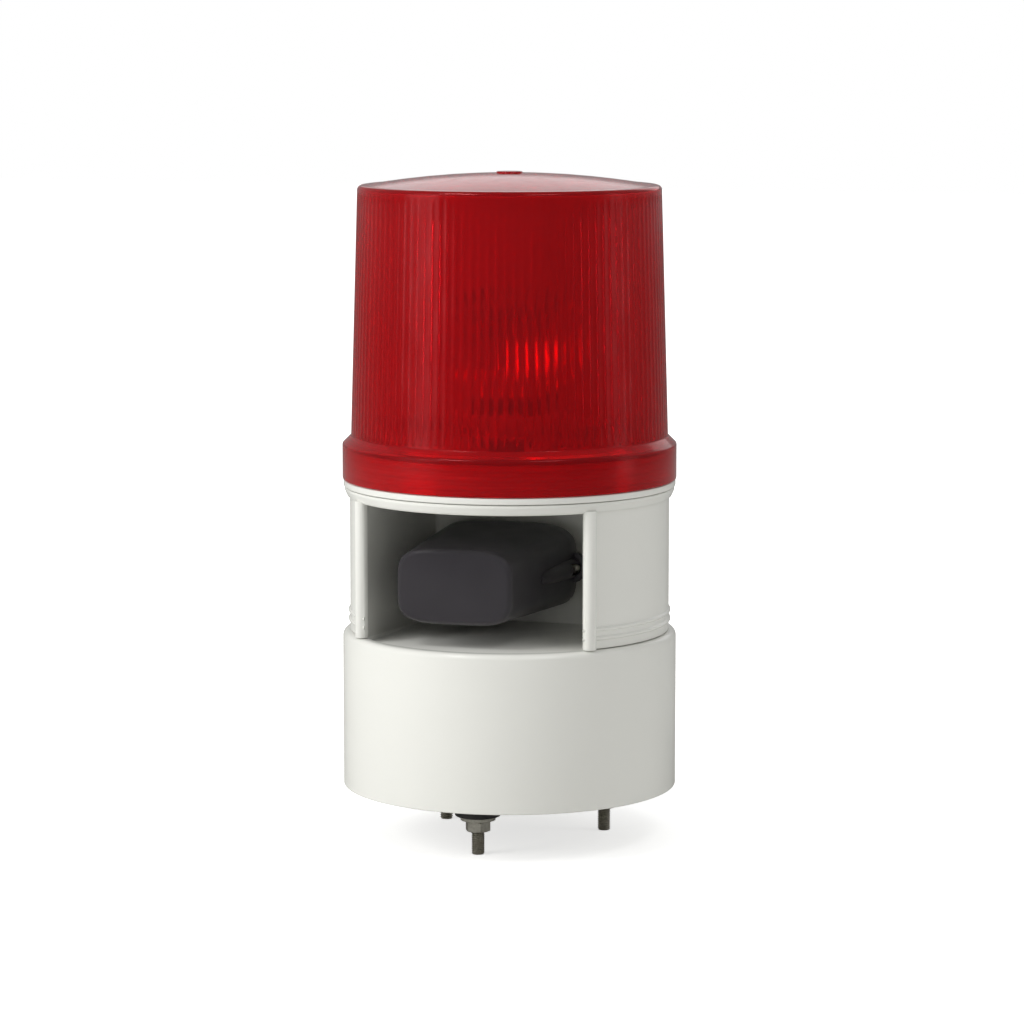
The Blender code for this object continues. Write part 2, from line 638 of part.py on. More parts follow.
def make_siren_housing():
    housing = turned("siren_housing", drum_profile(), "white_plastic", sides=ROUND)
    height = DRUM_TOP - FLOOR_TOP
    chamber = flat("chamber", [chamber_outline(0.0)], height - LINTEL, at=(0.0, 0.0, FLOOR_TOP))
    bore = DRUM_RADIUS - DRUM_WALL
    spigot_bore = LIP_INNER_RADIUS - GAP - DRUM_WALL
    cavity_profile = [
        (0.0, HOUSING_TOP - DECK_THICKNESS),
        (bore, HOUSING_TOP - DECK_THICKNESS),
        (bore, DRUM_FOOT + DRUM_WALL),
        (spigot_bore, DRUM_FOOT),
        (spigot_bore, FLOOR_TOP),
        (0.0, FLOOR_TOP),
    ]
    cavity = turned("cavity", cavity_profile, sides=ROUND)
    walls_at = (0.0, 0.0, FLOOR_TOP - height / 2)
    walls = flat("chamber_walls", [chamber_outline(CHAMBER_WALL)], 2 * height, at=walls_at)
    cut(cavity, walls)
    wire_at = (0.0, WIRE_HOLE_Y, FLOOR_UNDER - height / 4)
    wire_hole = rod("wire_hole", WIRE_HOLE_RADIUS, 2 * height, at=wire_at)
    cut(housing, chamber, cavity, wire_hole)

    post_angle = WINDOW_HALF_ANGLE + (POST_RADIUS + 0.1 * MM) / DRUM_RADIUS
    for side, name in ((-1, "left"), (1, "right")):
        post_foot = DRUM_FOOT + 0.1 * MM
        at = (side * DRUM_RADIUS * sin(post_angle), -DRUM_RADIUS * cos(post_angle), post_foot)
        post_height = DRUM_TOP - post_foot + 0.5 * MM
        join(housing, rod(f"post_{name}", POST_RADIUS, post_height, at=at, sides=MEDIUM_ROUND))
        length = CHAMBER_BACK_Y - HOOD_REAR_Y - GAP + 0.8 * CHAMBER_WALL
        boss_at = (HOOD_X + side * LUG_REACH, CHAMBER_BACK_Y + 0.8 * CHAMBER_WALL, LUG_Z)
        boss = rod(f"siren_boss_{name}", LUG_RADIUS, length, at=boss_at, turn=FACING_FRONT, sides=SMALL_ROUND)
        join(housing, boss)
        hole_at = (boss_at[0], CHAMBER_BACK_Y - GAP, LUG_Z)
        cut(housing, rod(f"siren_hole_{name}", M3_RADIUS + GAP, length, at=hole_at, turn=FACING_FRONT))

    for number, (x, y) in enumerate(BOARD_BOSSES, 1):
        boss = rod(f"board_boss_{number}", BOARD_BOSS_RADIUS, BOARD_DROP + ROOT, sides=SMALL_ROUND)
        boss.location = (x, y, FLOOR_UNDER - BOARD_DROP)
        hole = rod(f"board_hole_{number}", M3_RADIUS + GAP, BOARD_DROP)
        hole.location = (x, y, FLOOR_UNDER - 1.25 * BOARD_DROP)
        join(housing, boss)
        cut(housing, hole)

    for number, degrees in enumerate(HOUSING_SCREW_ANGLES, 1):
        x, y = polar(HOUSING_SCREW_RADIUS, degrees)
        foot = HOUSING_BOSS_TOP + GAP
        boss = rod(f"floor_boss_{number}", HOUSING_BOSS_RADIUS, FLOOR_UNDER - foot + ROOT, sides=SMALL_ROUND)
        boss.location = (x, y, foot)
        hole = rod(f"floor_hole_{number}", M4_RADIUS + GAP, HOUSING_HOLE_DEPTH, at=(x, y, foot - ROOT))
        join(housing, boss)
        cut(housing, hole)
        x, y = polar(DECK_SCREW_RADIUS, degrees)
        deck_hole = rod(f"collar_hole_{number}", M4_RADIUS + GAP, 2 * DECK_THICKNESS)
        deck_hole.location = (x, y, HOUSING_TOP - 1.4 * DECK_THICKNESS)
        cut(housing, deck_hole)


def make_housing_fixings():
    seal_outer = LIP_INNER_RADIUS - GAP
    seal_at = (0.0, 0.0, SEAT_TOP + GAP)
    ring("base_gasket", seal_outer, seal_outer - GASKET_WIDTH, GASKET_THICKNESS, "rubber", seal_at, ROUND)
    for number, degrees in enumerate(HOUSING_SCREW_ANGLES, 1):
        at = (*polar(HOUSING_SCREW_RADIUS, degrees), HOUSING_ARM_UNDER - GAP)
        pan_screw(f"housing_screw_{number}", M4_RADIUS, M4_HEAD, HOUSING_SCREW_LENGTH, at, UPSIDE_DOWN)


# ---- siren ---------------------------------------------------------------------------


def superellipse(half_width, half_height, x, y, z, points=32):
    """A ring of points in a plane across Y, between an ellipse and a rectangle in shape."""
    power = 2.0 / HOOD_SQUARENESS
    found = []
    for i in range(points):
        c, s = cos(2 * pi * i / points), sin(2 * pi * i / points)
        across = half_width * abs(c) ** power * (1 if c >= 0 else -1)
        up = half_height * abs(s) ** power * (1 if s >= 0 else -1)
        found.append((x + across, y, z + up))
    return found


def hood_section(share, inset=0.0):
    """The hood's section between its nose (share 0) and its rear (share 1)."""
    half = [a + (b - a) * share - inset for a, b in zip(HOOD_NOSE_HALF, HOOD_REAR_HALF)]
    y = HOOD_NOSE_Y + (HOOD_REAR_Y - HOOD_NOSE_Y) * share
    z = FLOOR_TOP + HOOD_NOSE_Z + (HOOD_REAR_Z - HOOD_NOSE_Z) * share
    return half, y, z


def hood_rings(inset, rear_share):
    """Rings from the dome on the nose back to the rear, inset by a wall for the hollow."""
    (wide, high), y, z = hood_section(0.0, inset)
    y += inset
    rings = []
    for step in (0.35, 0.7, 0.95):
        rings.append(superellipse(wide * step, high * step, HOOD_X, y - HOOD_DOME * (1 - step**2), z))
    for share in (0.03, 0.86, rear_share):
        (wide, high), ring_y, ring_z = hood_section(share, inset)
        rings.append(superellipse(wide, high, HOOD_X, ring_y + inset * (share < 0.1), ring_z))
    return rings


def make_siren_hood():
    hood = loft("siren_hood", hood_rings(0.0, 1.0), "black_plastic")
    for side, name in ((-1, "left"), (1, "right")):
        x = HOOD_X + side * LUG_REACH
        inward = -side * LUG_ROOT
        left, right = -LUG_RADIUS + min(inward, 0.0), LUG_RADIUS + max(inward, 0.0)
        corner = LUG_RADIUS - 0.1 * MM
        outline = rounded_rectangle(left, -LUG_HALF_HEIGHT, right, LUG_HALF_HEIGHT, corner)
        lug_at = (x, LUG_BACK_Y, LUG_Z)
        lug = flat(f"lug_{name}", [outline], LUG_THICKNESS, at=lug_at, turn=FACING_FRONT)
        # A fin runs forward from the lug and fades into the hood's side.
        root_y = HOOD_REAR_Y - LUG_THICKNESS / 2
        fin_rings = [
            fin_section(x - side * inset, y, half_width, half_height)
            for (inset, half_width, half_height), y in ((FIN_ROOT, root_y), (FIN_TIP, root_y - FIN_LENGTH))
        ]
        join(hood, lug, loft(f"fin_{name}", fin_rings))
    hollow = loft("hood_hollow", hood_rings(HOOD_WALL, 1.02))
    cut(hood, hollow)
    for side, name in ((-1, "left"), (1, "right")):
        at = (HOOD_X + side * LUG_REACH, HOOD_REAR_Y + 1.0 * MM, LUG_Z)
        cut(hood, rod(f"lug_hole_{name}", M3_RADIUS + GAP, 3 * LUG_THICKNESS, at=at, turn=FACING_FRONT))
        seat_at = (at[0], LUG_SEAT_Y, LUG_Z)
        seat_size = (M3_HEAD[0] + GAP, LUG_SEAT_DEPTH)
        seat = rod(f"lug_seat_{name}", *seat_size, at=seat_at, turn=FACING_FRONT, sides=SEAT_ROUND)
        cut(hood, seat)
    for number in range(HOOD_SLOTS):
        x = HOOD_X + (number - (HOOD_SLOTS - 1) / 2) * HOOD_SLOT_PITCH
        half_x, half_y = HOOD_SLOT_WIDTH / 2, HOOD_SLOT_LENGTH / 2
        outline = rounded_rectangle(x - half_x, -half_y, x + half_x, half_y, 0.9 * half_x, 3)
        slot_at = (0.0, (HOOD_NOSE_Y + HOOD_REAR_Y) / 2 - HOOD_SLOT_FORWARD, FLOOR_TOP)
        cut(hood, flat(f"sound_slot_{number + 1}", [outline], HOOD_NOSE_Z, at=slot_at))


def fin_section(x, y, half_width, half_height):
    return [(x + half_width * px, y, LUG_Z + half_height * py) for px, py in circle(1.0, 12)]


def make_siren_driver():
    """The driver: a frame that closes the hood's rear, a domed diaphragm and a magnet."""
    frame_back = HOOD_REAR_Y - DRIVER_INSET
    share = 1.0 - (HOOD_REAR_Y - frame_back) / (HOOD_REAR_Y - HOOD_NOSE_Y)
    (wide, high), _, z = hood_section(share, HOOD_WALL + 2 * GAP)
    outline = [(x, up) for x, _, up in superellipse(wide, high, 0.0, 0.0, 0.0)]
    hole = circle(DIAPHRAGM_RADIUS + GAP)
    frame_at = (HOOD_X, frame_back, z)
    flat("driver_frame", [outline, hole], DRIVER_THICKNESS, "black_plastic", frame_at, FACING_FRONT)
    shares = [i / 6 for i in range(7)]
    dome = [(DIAPHRAGM_RADIUS * s, DIAPHRAGM_RIM + DIAPHRAGM_DOME * (1 - s**2)) for s in shares]
    profile = dome + [(DIAPHRAGM_RADIUS, 0.0), (0.0, 0.0)]
    at = (HOOD_X, frame_back - GAP, z)
    turned("driver_diaphragm", profile, "paper_cone", at, FACING_FRONT)
    magnet_at = (HOOD_X, frame_back + GAP + MAGNET_LENGTH, z)
    rod("driver_magnet", MAGNET_RADIUS, MAGNET_LENGTH, "ferrite", magnet_at, FACING_FRONT)
    for side, name in ((-1, "left"), (1, "right")):
        at = (HOOD_X + side * LUG_REACH, LUG_SEAT_Y - GAP, LUG_Z)
        pan_screw(f"siren_screw_{name}", M3_RADIUS, M3_HEAD, SIREN_SCREW_LENGTH, at, FACING_FRONT)


# ---- sound board ---------------------------------------------------------------------


def make_sound_board():
    under = BOARD_TOP - BOARD_THICKNESS
    half_x, half_y = BOARD_SIZE[0] / 2, BOARD_SIZE[1] / 2
    loops = [rounded_rectangle(-half_x, -half_y, half_x, half_y, BOARD_CORNER, 2)]
    loops += [circle(M3_RADIUS + GAP, 16, boss) for boss in BOARD_BOSSES]
    flat("sound_board", loops, BOARD_THICKNESS, "board_green", (0.0, 0.0, under))
    for number, (x, y) in enumerate(BOARD_BOSSES, 1):
        at = (x, y, under - GAP)
        pan_screw(f"board_screw_{number}", M3_RADIUS, M3_HEAD, BOARD_SCREW_LENGTH, at, UPSIDE_DOWN)
    for name, size, (x, y), finish in BOARD_PIECES:
        block(name, size, finish, (x, y, under - GAP - size[2]), BOARD_PIECE_EDGE)
    at = (*CAPACITOR_PLACE, under - GAP - CAPACITOR_LENGTH)
    rod("capacitor", CAPACITOR_RADIUS, CAPACITOR_LENGTH, "aluminium", at)


# ---- lamp base and lens --------------------------------------------------------------


def make_lamp_base():
    inner = SPIGOT_RADIUS - SPIGOT_WALL
    edge = LAMP_RIM_CHAMFER
    profile = [
        (0.0, DECK_TOP),
        (inner, DECK_TOP),
        (inner, SPIGOT_TOP),
        (SPIGOT_RADIUS, SPIGOT_TOP),
    ]
    for turn_number in range(THREAD_TURNS):
        z = SPIGOT_TOP - 0.5 * THREAD_PITCH - turn_number * THREAD_PITCH
        profile += [
            (SPIGOT_RADIUS, z + 0.3 * THREAD_PITCH),
            (SPIGOT_RADIUS + THREAD_DEPTH, z),
            (SPIGOT_RADIUS, z - 0.3 * THREAD_PITCH),
        ]
    profile += [
        (SPIGOT_RADIUS, LAMP_RIM_TOP),
        (LAMP_RIM_RADIUS - edge, LAMP_RIM_TOP),
        (LAMP_RIM_RADIUS, LAMP_RIM_TOP - edge),
        (LAMP_RIM_RADIUS, LAMP_UNDER + edge),
        (LAMP_RIM_RADIUS - edge, LAMP_UNDER),
        (0.0, LAMP_UNDER),
    ]
    lamp_base = turned("lamp_base", profile, "white_plastic", sides=ROUND)
    for number, (x, y) in enumerate(MECHANISM_BOSSES, 1):
        height = MECHANISM_HEIGHT + ROOT
        boss = rod(f"mechanism_boss_{number}", MECHANISM_BOSS_RADIUS, height, sides=SMALL_ROUND)
        boss.location = (x, y, DECK_TOP - ROOT)
        hole = rod(f"mechanism_hole_{number}", M3_RADIUS + GAP, MECHANISM_HEIGHT)
        hole.location = (x, y, DECK_TOP + MECHANISM_HOLE_START)
        join(lamp_base, boss)
        cut(lamp_base, hole)
    deck_wire_at = (0.0, WIRE_HOLE_Y, LAMP_UNDER - DECK_THICKNESS)
    cut(lamp_base, rod("deck_wire_hole", WIRE_HOLE_RADIUS, 4 * DECK_THICKNESS, at=deck_wire_at))
    for number, degrees in enumerate(HOUSING_SCREW_ANGLES, 1):
        x, y = polar(DECK_SCREW_RADIUS, degrees)
        hole_at = (x, y, LAMP_UNDER - DECK_THICKNESS)
        cut(lamp_base, rod(f"deck_hole_{number}", M4_RADIUS + GAP, 4 * DECK_THICKNESS, at=hole_at))
        length = DECK_THICKNESS + 2 * GAP + DECK_SCREW_GRIP
        pan_screw(f"deck_screw_{number}", M4_RADIUS, M4_HEAD, length, (x, y, DECK_TOP + GAP))


def make_lens():
    inner_flange = SPIGOT_RADIUS + THREAD_DEPTH + 1.4 * GAP
    chamfer_foot = LENS_FOOT + LENS_FLANGE_HEIGHT
    corner_z = LENS_FOOT + LENS_HEIGHT - LENS_CROWN_RISE
    apex = LENS_FOOT + LENS_HEIGHT
    taper = (LENS_BARREL_RADIUS - LENS_TOP_RADIUS) / (corner_z - chamfer_foot - LENS_CHAMFER)
    crown_radius = ((LENS_TOP_RADIUS - LENS_CORNER) ** 2 + LENS_CROWN_RISE**2) / (2 * LENS_CROWN_RISE)

    def crown(radius, drop=0.0):
        return (radius, apex - drop - crown_radius + (crown_radius**2 - radius**2) ** 0.5)

    shoulder = (LENS_TOP_RADIUS - LENS_CORNER, corner_z - LENS_CORNER)
    outside = [
        (0.0, apex + LENS_BOSS_HEIGHT),
        (LENS_BOSS_RADIUS - 0.5 * MM, apex + LENS_BOSS_HEIGHT),
        (LENS_BOSS_RADIUS, apex),
        crown((LENS_TOP_RADIUS - LENS_CORNER) / 2),
        *arc(shoulder, LENS_CORNER, pi / 2, taper, 2),
        (LENS_BARREL_RADIUS, chamfer_foot + LENS_CHAMFER),
        (LENS_FLANGE_RADIUS, chamfer_foot),
        (LENS_FLANGE_RADIUS, LENS_FOOT + EDGE_CHAMFER),
        (LENS_FLANGE_RADIUS - EDGE_CHAMFER, LENS_FOOT),
    ]
    inside_top = LENS_TOP_RADIUS - LENS_WALL
    inside = [
        (inner_flange, LENS_FOOT),
        (inner_flange, LENS_SHELF),
        (LENS_BARREL_RADIUS - LENS_WALL, LENS_SHELF),
        (LENS_BARREL_RADIUS - LENS_WALL, chamfer_foot + LENS_CHAMFER),
        (inside_top, corner_z - LENS_CORNER),
        (inside_top - LENS_CORNER, corner_z - LENS_WALL),
        crown(inside_top / 2, LENS_WALL),
        (0.0, apex - LENS_WALL),
    ]
    lens = turned("lens", outside + inside, "red_lens", sides=ROUND)
    seal_at = (0.0, 0.0, SPIGOT_TOP + GAP)
    seal_size = (SPIGOT_RADIUS, SPIGOT_RADIUS - SPIGOT_WALL, LENS_GASKET_THICKNESS)
    seal = ring("lens_gasket", *seal_size, "rubber", seal_at, ROUND)
    joint_axis("lens_axis", (0.0, 0.0, LENS_FOOT), [lens, seal])


# ---- beacon --------------------------------------------------------------------------


def gear_outline(teeth, first_tooth_angle):
    """Involute teeth as a closed loop, the first one centred on the angle given."""
    pitch_radius = GEAR_MODULE * teeth / 2
    base_radius = pitch_radius * cos(PRESSURE_ANGLE)
    tip = pitch_radius + ADDENDUM * GEAR_MODULE
    root = pitch_radius - DEDENDUM * GEAR_MODULE
    half_width = (pi * GEAR_MODULE / 2 - BACKLASH) / 2 / pitch_radius

    def involute(radius):
        angle = acos(min(1.0, base_radius / radius))
        return tan(angle) - angle

    def half_angle(radius):
        return half_width + involute(pitch_radius) - involute(max(radius, base_radius))

    radii = (root, pitch_radius, tip)
    points = []
    for tooth in range(teeth):
        middle = first_tooth_angle + 2 * pi * tooth / teeth
        flanks = [(r, middle - half_angle(r)) for r in radii]
        flanks += [(r, middle + half_angle(r)) for r in reversed(radii)]
        points += [(r * cos(angle), r * sin(angle)) for r, angle in flanks]
    return points


def make_mechanism():
    half, front, back = MECHANISM_HALF_WIDTH, MECHANISM_FRONT_Y, MECHANISM_BACK_Y
    outline = rounded_rectangle(-half, front, half, back, MECHANISM_CORNER)
    shaft_hole = circle(MOTOR_BOSS_RADIUS, SMALL_ROUND, (0.0, GEAR_DISTANCE))
    loops = [outline, circle(SOCKET_RADIUS + 3 * GAP), shaft_hole]
    motor_screws = [(side * MOTOR_SCREW_REACH, GEAR_DISTANCE) for side in (-1, 1)]
    loops += [circle(M3_RADIUS + GAP, 12, at) for at in (*MECHANISM_BOSSES, *motor_screws)]
    flat("mechanism_plate", loops, MECHANISM_PLATE, "zinc_steel", (0.0, 0.0, MECHANISM_UNDER))
    for number, (x, y) in enumerate(MECHANISM_BOSSES, 1):
        at = (x, y, MECHANISM_TOP + GAP)
        pan_screw(f"mechanism_screw_{number}", M3_RADIUS, M3_HEAD, MECHANISM_SCREW_LENGTH, at)

    motor_under = MECHANISM_UNDER - GAP - MOTOR_LENGTH
    motor_at = (0.0, GEAR_DISTANCE, motor_under)
    motor = rod("motor", MOTOR_RADIUS, MOTOR_LENGTH, "zinc_steel", motor_at, sides=MEDIUM_ROUND)
    bore_at = (0.0, GEAR_DISTANCE, motor_under + MOTOR_LENGTH / 2)
    cut(motor, rod("motor_bore", MOTOR_SHAFT_RADIUS + GAP, MOTOR_LENGTH, at=bore_at))
    for number, (x, y) in enumerate(motor_screws, 1):
        hole = rod(f"motor_screw_hole_{number}", M3_RADIUS + GAP, MOTOR_LENGTH)
        hole.location = (x, y, MECHANISM_UNDER - MOTOR_HOLE_DEPTH)
        cut(motor, hole)
        length = MECHANISM_PLATE + MOTOR_SCREW_DEPTH
        at = (x, y, MECHANISM_TOP + GAP)
        pan_screw(f"motor_screw_{number}", M3_RADIUS, M3_LOW_HEAD, length, at)

    shaft_at = (0.0, GEAR_DISTANCE, motor_under + MOTOR_LENGTH / 2 + GAP)
    shaft_length = GEAR_TOP + ROOT - shaft_at[2]
    shaft = rod("motor_shaft", MOTOR_SHAFT_RADIUS, shaft_length, "zinc_steel", shaft_at)
    gap_angle = -pi / 2 + pi / PINION_TEETH
    pinion_loops = [gear_outline(PINION_TEETH, gap_angle), circle(MOTOR_SHAFT_RADIUS + GAP, 16)]
    pinion_at = (0.0, GEAR_DISTANCE, GEAR_UNDER)
    pinion = flat("drive_pinion", pinion_loops, GEAR_THICKNESS, "brass", pinion_at)
    joint_axis("motor_axis", pinion_at, [shaft, pinion])


def make_bulb():
    socket_at = (0.0, 0.0, DECK_TOP + GAP)
    rod("bulb_socket", SOCKET_RADIUS, SOCKET_HEIGHT, "black_plastic", socket_at, sides=MEDIUM_ROUND)
    cap_under = DECK_TOP + SOCKET_HEIGHT + 2 * GAP
    cap_at = (0.0, 0.0, cap_under)
    rod("bulb_cap", BULB_CAP_RADIUS, BULB_CAP_HEIGHT, "brass", cap_at, sides=MEDIUM_ROUND)
    glass_under = cap_under + BULB_CAP_HEIGHT + GAP
    neck = BULB_CAP_RADIUS - ROOT
    centre = BULB_RADIUS + BULB_RISE
    globe = arc((0.0, centre), BULB_RADIUS, pi / 2, -0.28 * pi, 7)
    globe[0] = (0.0, globe[0][1])
    profile = [*globe, (neck, BULB_NECK_HEIGHT), (neck, 0.0), (0.0, 0.0)]
    turned("bulb_glass", profile, "glass", (0.0, 0.0, glass_under))
    flange_radius, flange_height = BEARING_FLANGE
    bore = SOCKET_RADIUS + GAP
    top = GEAR_TOP + GAP / 1.5
    low = MECHANISM_TOP + GAP
    profile = [
        (bore, top),
        (BEARING_RADIUS, top),
        (BEARING_RADIUS, low + flange_height),
        (flange_radius, low + flange_height),
        (flange_radius, low),
        (bore, low),
    ]
    turned("bearing_sleeve", profile, "natural_nylon", sides=MEDIUM_ROUND)


def make_reflector():
    screw_radius = (BEARING_RADIUS + GAP + GEAR_ROOT_RADIUS) / 2
    loops = [gear_outline(GEAR_TEETH, pi / 2), circle(BEARING_RADIUS + GAP, MEDIUM_ROUND)]
    loops += [circle(M3_RADIUS / 2 + GAP, 10, polar(screw_radius, a)) for a in REFLECTOR_SCREW_ANGLES]
    gear = flat("reflector_gear", loops, GEAR_THICKNESS, "natural_nylon", (0.0, 0.0, GEAR_UNDER))

    axis_z = GEAR_TOP + REFLECTOR_RISE
    steps = 5

    def dish(share, back):
        radius = REFLECTOR_RADIUS * share
        return (radius, radius**2 / (4 * REFLECTOR_FOCUS) - back)

    front = [dish(i / steps, 0.0) for i in range(steps + 1)]
    back = [dish(i / steps, REFLECTOR_WALL) for i in range(steps, -1, -1)]
    vertex = (0.0, REFLECTOR_FOCUS, axis_z)
    reflector = turned("reflector", front + back, "chrome", vertex, FACING_FRONT, 24)
    notch_size = (SOCKET_RADIUS + NECK_CLEARANCE, 8 / 11 * REFLECTOR_RISE)
    notch = rod("neck_clearance", *notch_size, at=(0.0, 0.0, GEAR_TOP), sides=MEDIUM_ROUND)
    stem_back = REFLECTOR_FOCUS + REFLECTOR_WALL
    foot_z = GEAR_TOP + GAP
    stem_height = REFLECTOR_RISE + REFLECTOR_STEM_OVERLAP
    stem = block("stem", (2 * REFLECTOR_STEM_HALF_WIDTH, REFLECTOR_STEM_THICKNESS, stem_height))
    stem.location = (0.0, stem_back - REFLECTOR_STEM_THICKNESS / 2 - GAP / 3, foot_z)
    foot_front = BEARING_RADIUS + 0.8 * MM
    foot_size = (2 * REFLECTOR_STEM_HALF_WIDTH + 2 * ROOT, stem_back - foot_front, REFLECTOR_FOOT_HEIGHT)
    foot = block("foot", foot_size)
    foot.location = (0.0, (foot_front + stem_back) / 2, foot_z)
    cut(reflector, notch)
    join(reflector, stem, foot)
    pieces = [gear, reflector]
    for number, degrees in enumerate(REFLECTOR_SCREW_ANGLES, 1):
        x, y = polar(screw_radius, degrees)
        hole_at = (x, y, foot_z - REFLECTOR_FOOT_HEIGHT)
        hole_size = (M3_RADIUS / 2 + GAP, 3 * REFLECTOR_FOOT_HEIGHT)
        cut(reflector, rod(f"foot_hole_{number}", *hole_size, at=hole_at))
        at = (x, y, foot_z + REFLECTOR_FOOT_HEIGHT + GAP)
        size = (M3_RADIUS / 2, REFLECTOR_SCREW_HEAD, REFLECTOR_SCREW_LENGTH)
        pieces.append(pan_screw(f"reflector_screw_{number}", *size, at))
    joint_axis("reflector_axis", (0.0, 0.0, GEAR_UNDER), pieces)


def main():
    make_base_cup()
    make_base_plate()
    make_cable_grommet()
    for number, degrees in enumerate(BOLT_ANGLES, 1):
        make_bolt(number, *polar(BOLT_CIRCLE_RADIUS, degrees))
    make_siren_housing()
    make_housing_fixings()
    make_siren_hood()
    make_siren_driver()
    make_sound_board()
    make_lamp_base()
    make_lens()
    make_mechanism()
    make_bulb()
    make_reflector()


main()
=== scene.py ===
"""Looks of the alarm siren: a rotating beacon under a red lens, over a siren in a drum.

Every sub-assembly is a class whose fields are its sizes in millimetres, and whose methods
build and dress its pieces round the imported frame.
"""

import logging
from collections.abc import Iterable, Sequence
from dataclasses import dataclass, field
from enum import Enum
from math import acos, atan2, cos, pi, radians, sin, tan

import bmesh
import bpy
from mathutils import Matrix, Vector


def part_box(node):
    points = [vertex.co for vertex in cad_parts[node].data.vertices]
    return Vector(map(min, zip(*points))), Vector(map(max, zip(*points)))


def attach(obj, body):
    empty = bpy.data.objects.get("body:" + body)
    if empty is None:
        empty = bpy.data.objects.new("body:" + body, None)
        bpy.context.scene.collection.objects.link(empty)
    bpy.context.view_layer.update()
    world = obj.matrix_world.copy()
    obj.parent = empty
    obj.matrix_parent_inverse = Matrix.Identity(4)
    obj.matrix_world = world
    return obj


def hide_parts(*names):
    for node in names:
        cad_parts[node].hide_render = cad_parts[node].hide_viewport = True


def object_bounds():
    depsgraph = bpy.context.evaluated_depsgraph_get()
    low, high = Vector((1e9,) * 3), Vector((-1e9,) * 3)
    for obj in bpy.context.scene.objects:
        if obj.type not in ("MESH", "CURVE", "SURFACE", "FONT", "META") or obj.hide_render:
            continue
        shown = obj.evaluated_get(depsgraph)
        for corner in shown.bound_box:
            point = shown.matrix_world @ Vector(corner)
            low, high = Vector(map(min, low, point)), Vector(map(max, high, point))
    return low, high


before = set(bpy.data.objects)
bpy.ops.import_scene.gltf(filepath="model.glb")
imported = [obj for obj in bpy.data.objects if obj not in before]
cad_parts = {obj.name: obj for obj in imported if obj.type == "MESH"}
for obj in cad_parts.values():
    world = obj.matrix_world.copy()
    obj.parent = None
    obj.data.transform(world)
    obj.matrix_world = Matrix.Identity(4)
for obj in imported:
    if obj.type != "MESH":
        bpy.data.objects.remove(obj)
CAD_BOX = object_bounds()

LOG = logging.getLogger("alarm_siren")
MM = 0.001
FINE = 192  # sides of the large round pieces
SMALL = 40  # sides of the small round pieces
GAP = 0.3  # mm that neighbouring solids leave between them
WELD = 0.002  # mm within which points of one piece become one
ON_AXIS = 1e-6  # mm from the axis that still counts as on it
WIRE_HOLE = (0.0, 50.0)  # where the wires go up through the drum and the lamp base
WIRE_HOLE_RADIUS = 5.0
MECHANISM_BOSSES = ((-15.8, -14.2), (15.8, -14.2), (0.0, 41.0))
SCREW_HOLE = 1.7  # radius of the holes for the screws of middle size
FRONT = Matrix.Rotation(pi / 2, 4, "X")  # turns a piece that points up to point at -Y
DOWN = Matrix.Rotation(pi, 4, "X")

Point = tuple[float, float]
Corner = tuple[float, float, float]
Tree = bpy.types.NodeTree
Node = bpy.types.Node
Socket = bpy.types.NodeSocket
Solid = bpy.types.Object


class Body(Enum):
    """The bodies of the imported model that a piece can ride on."""

    BASE = "base"
    GASKET = "gasket"
    LENS = "lens"
    REFLECTOR = "reflector"
    ROTOR = "motor_rotor"


class Slot(Enum):
    """The record's material slots; the washers' table lists them, but no piece is given one."""

    WHITE = "white_plastic"
    RED = "red_lens"
    BLACK = "black_plastic"
    RUBBER = "rubber"
    ZINC = "zinc_steel"
    CHROME = "chrome"
    BRASS = "brass"
    GLASS = "glass"
    NYLON = "nylon"
    FERRITE = "ferrite"
    DIAPHRAGM = "diaphragm"


class Join(Enum):
    """How one solid changes another."""

    CUT = "DIFFERENCE"
    ADD = "UNION"
    KEEP = "INTERSECT"


# ---- nodes -----------------------------------------------------------------------------


def linear(hex_text: str) -> tuple[float, float, float, float]:
    """Turns an sRGB colour such as "#c81024" to linear light.

    Args:
        hex_text: the colour as a hash and six hexadecimal digits.

    Returns:
        Red, green, blue and an alpha of 1.
    """
    levels = [int(hex_text[i : i + 2], 16) / 255 for i in (1, 3, 5)]
    flat = [v / 12.92 if v <= 0.04045 else ((v + 0.055) / 1.055) ** 2.4 for v in levels]
    return (*flat, 1.0)


def add_node(tree: Tree, kind: str, inputs: dict | None = None, **settings) -> Node:
    """Adds a node, sets its settings, and sets or links its inputs.

    Args:
        tree: the tree that the node goes into.
        kind: the node's Blender type.
        inputs: an input's name or number, with its value or the socket that feeds it.
        **settings: properties of the node.

    Returns:
        The new node.
    """
    node = tree.nodes.new(kind)
    for name, value in settings.items():
        setattr(node, name, value)
    for key, value in (inputs or {}).items():
        if isinstance(value, Socket):
            tree.links.new(value, node.inputs[key])
        else:
            node.inputs[key].default_value = value
    return node


def sum_node(tree: Tree, operation: str, *values: object) -> Socket:
    """Adds a sum of numbers and sockets, and gives its result.

    Args:
        tree: the tree that the sum goes into.
        operation: Blender's name of the operation.
        *values: what it works on, in order.

    Returns:
        The result.
    """
    return add_node(tree, "ShaderNodeMath", dict(enumerate(values)), operation=operation).outputs[0]


# ---- finishes --------------------------------------------------------------------------


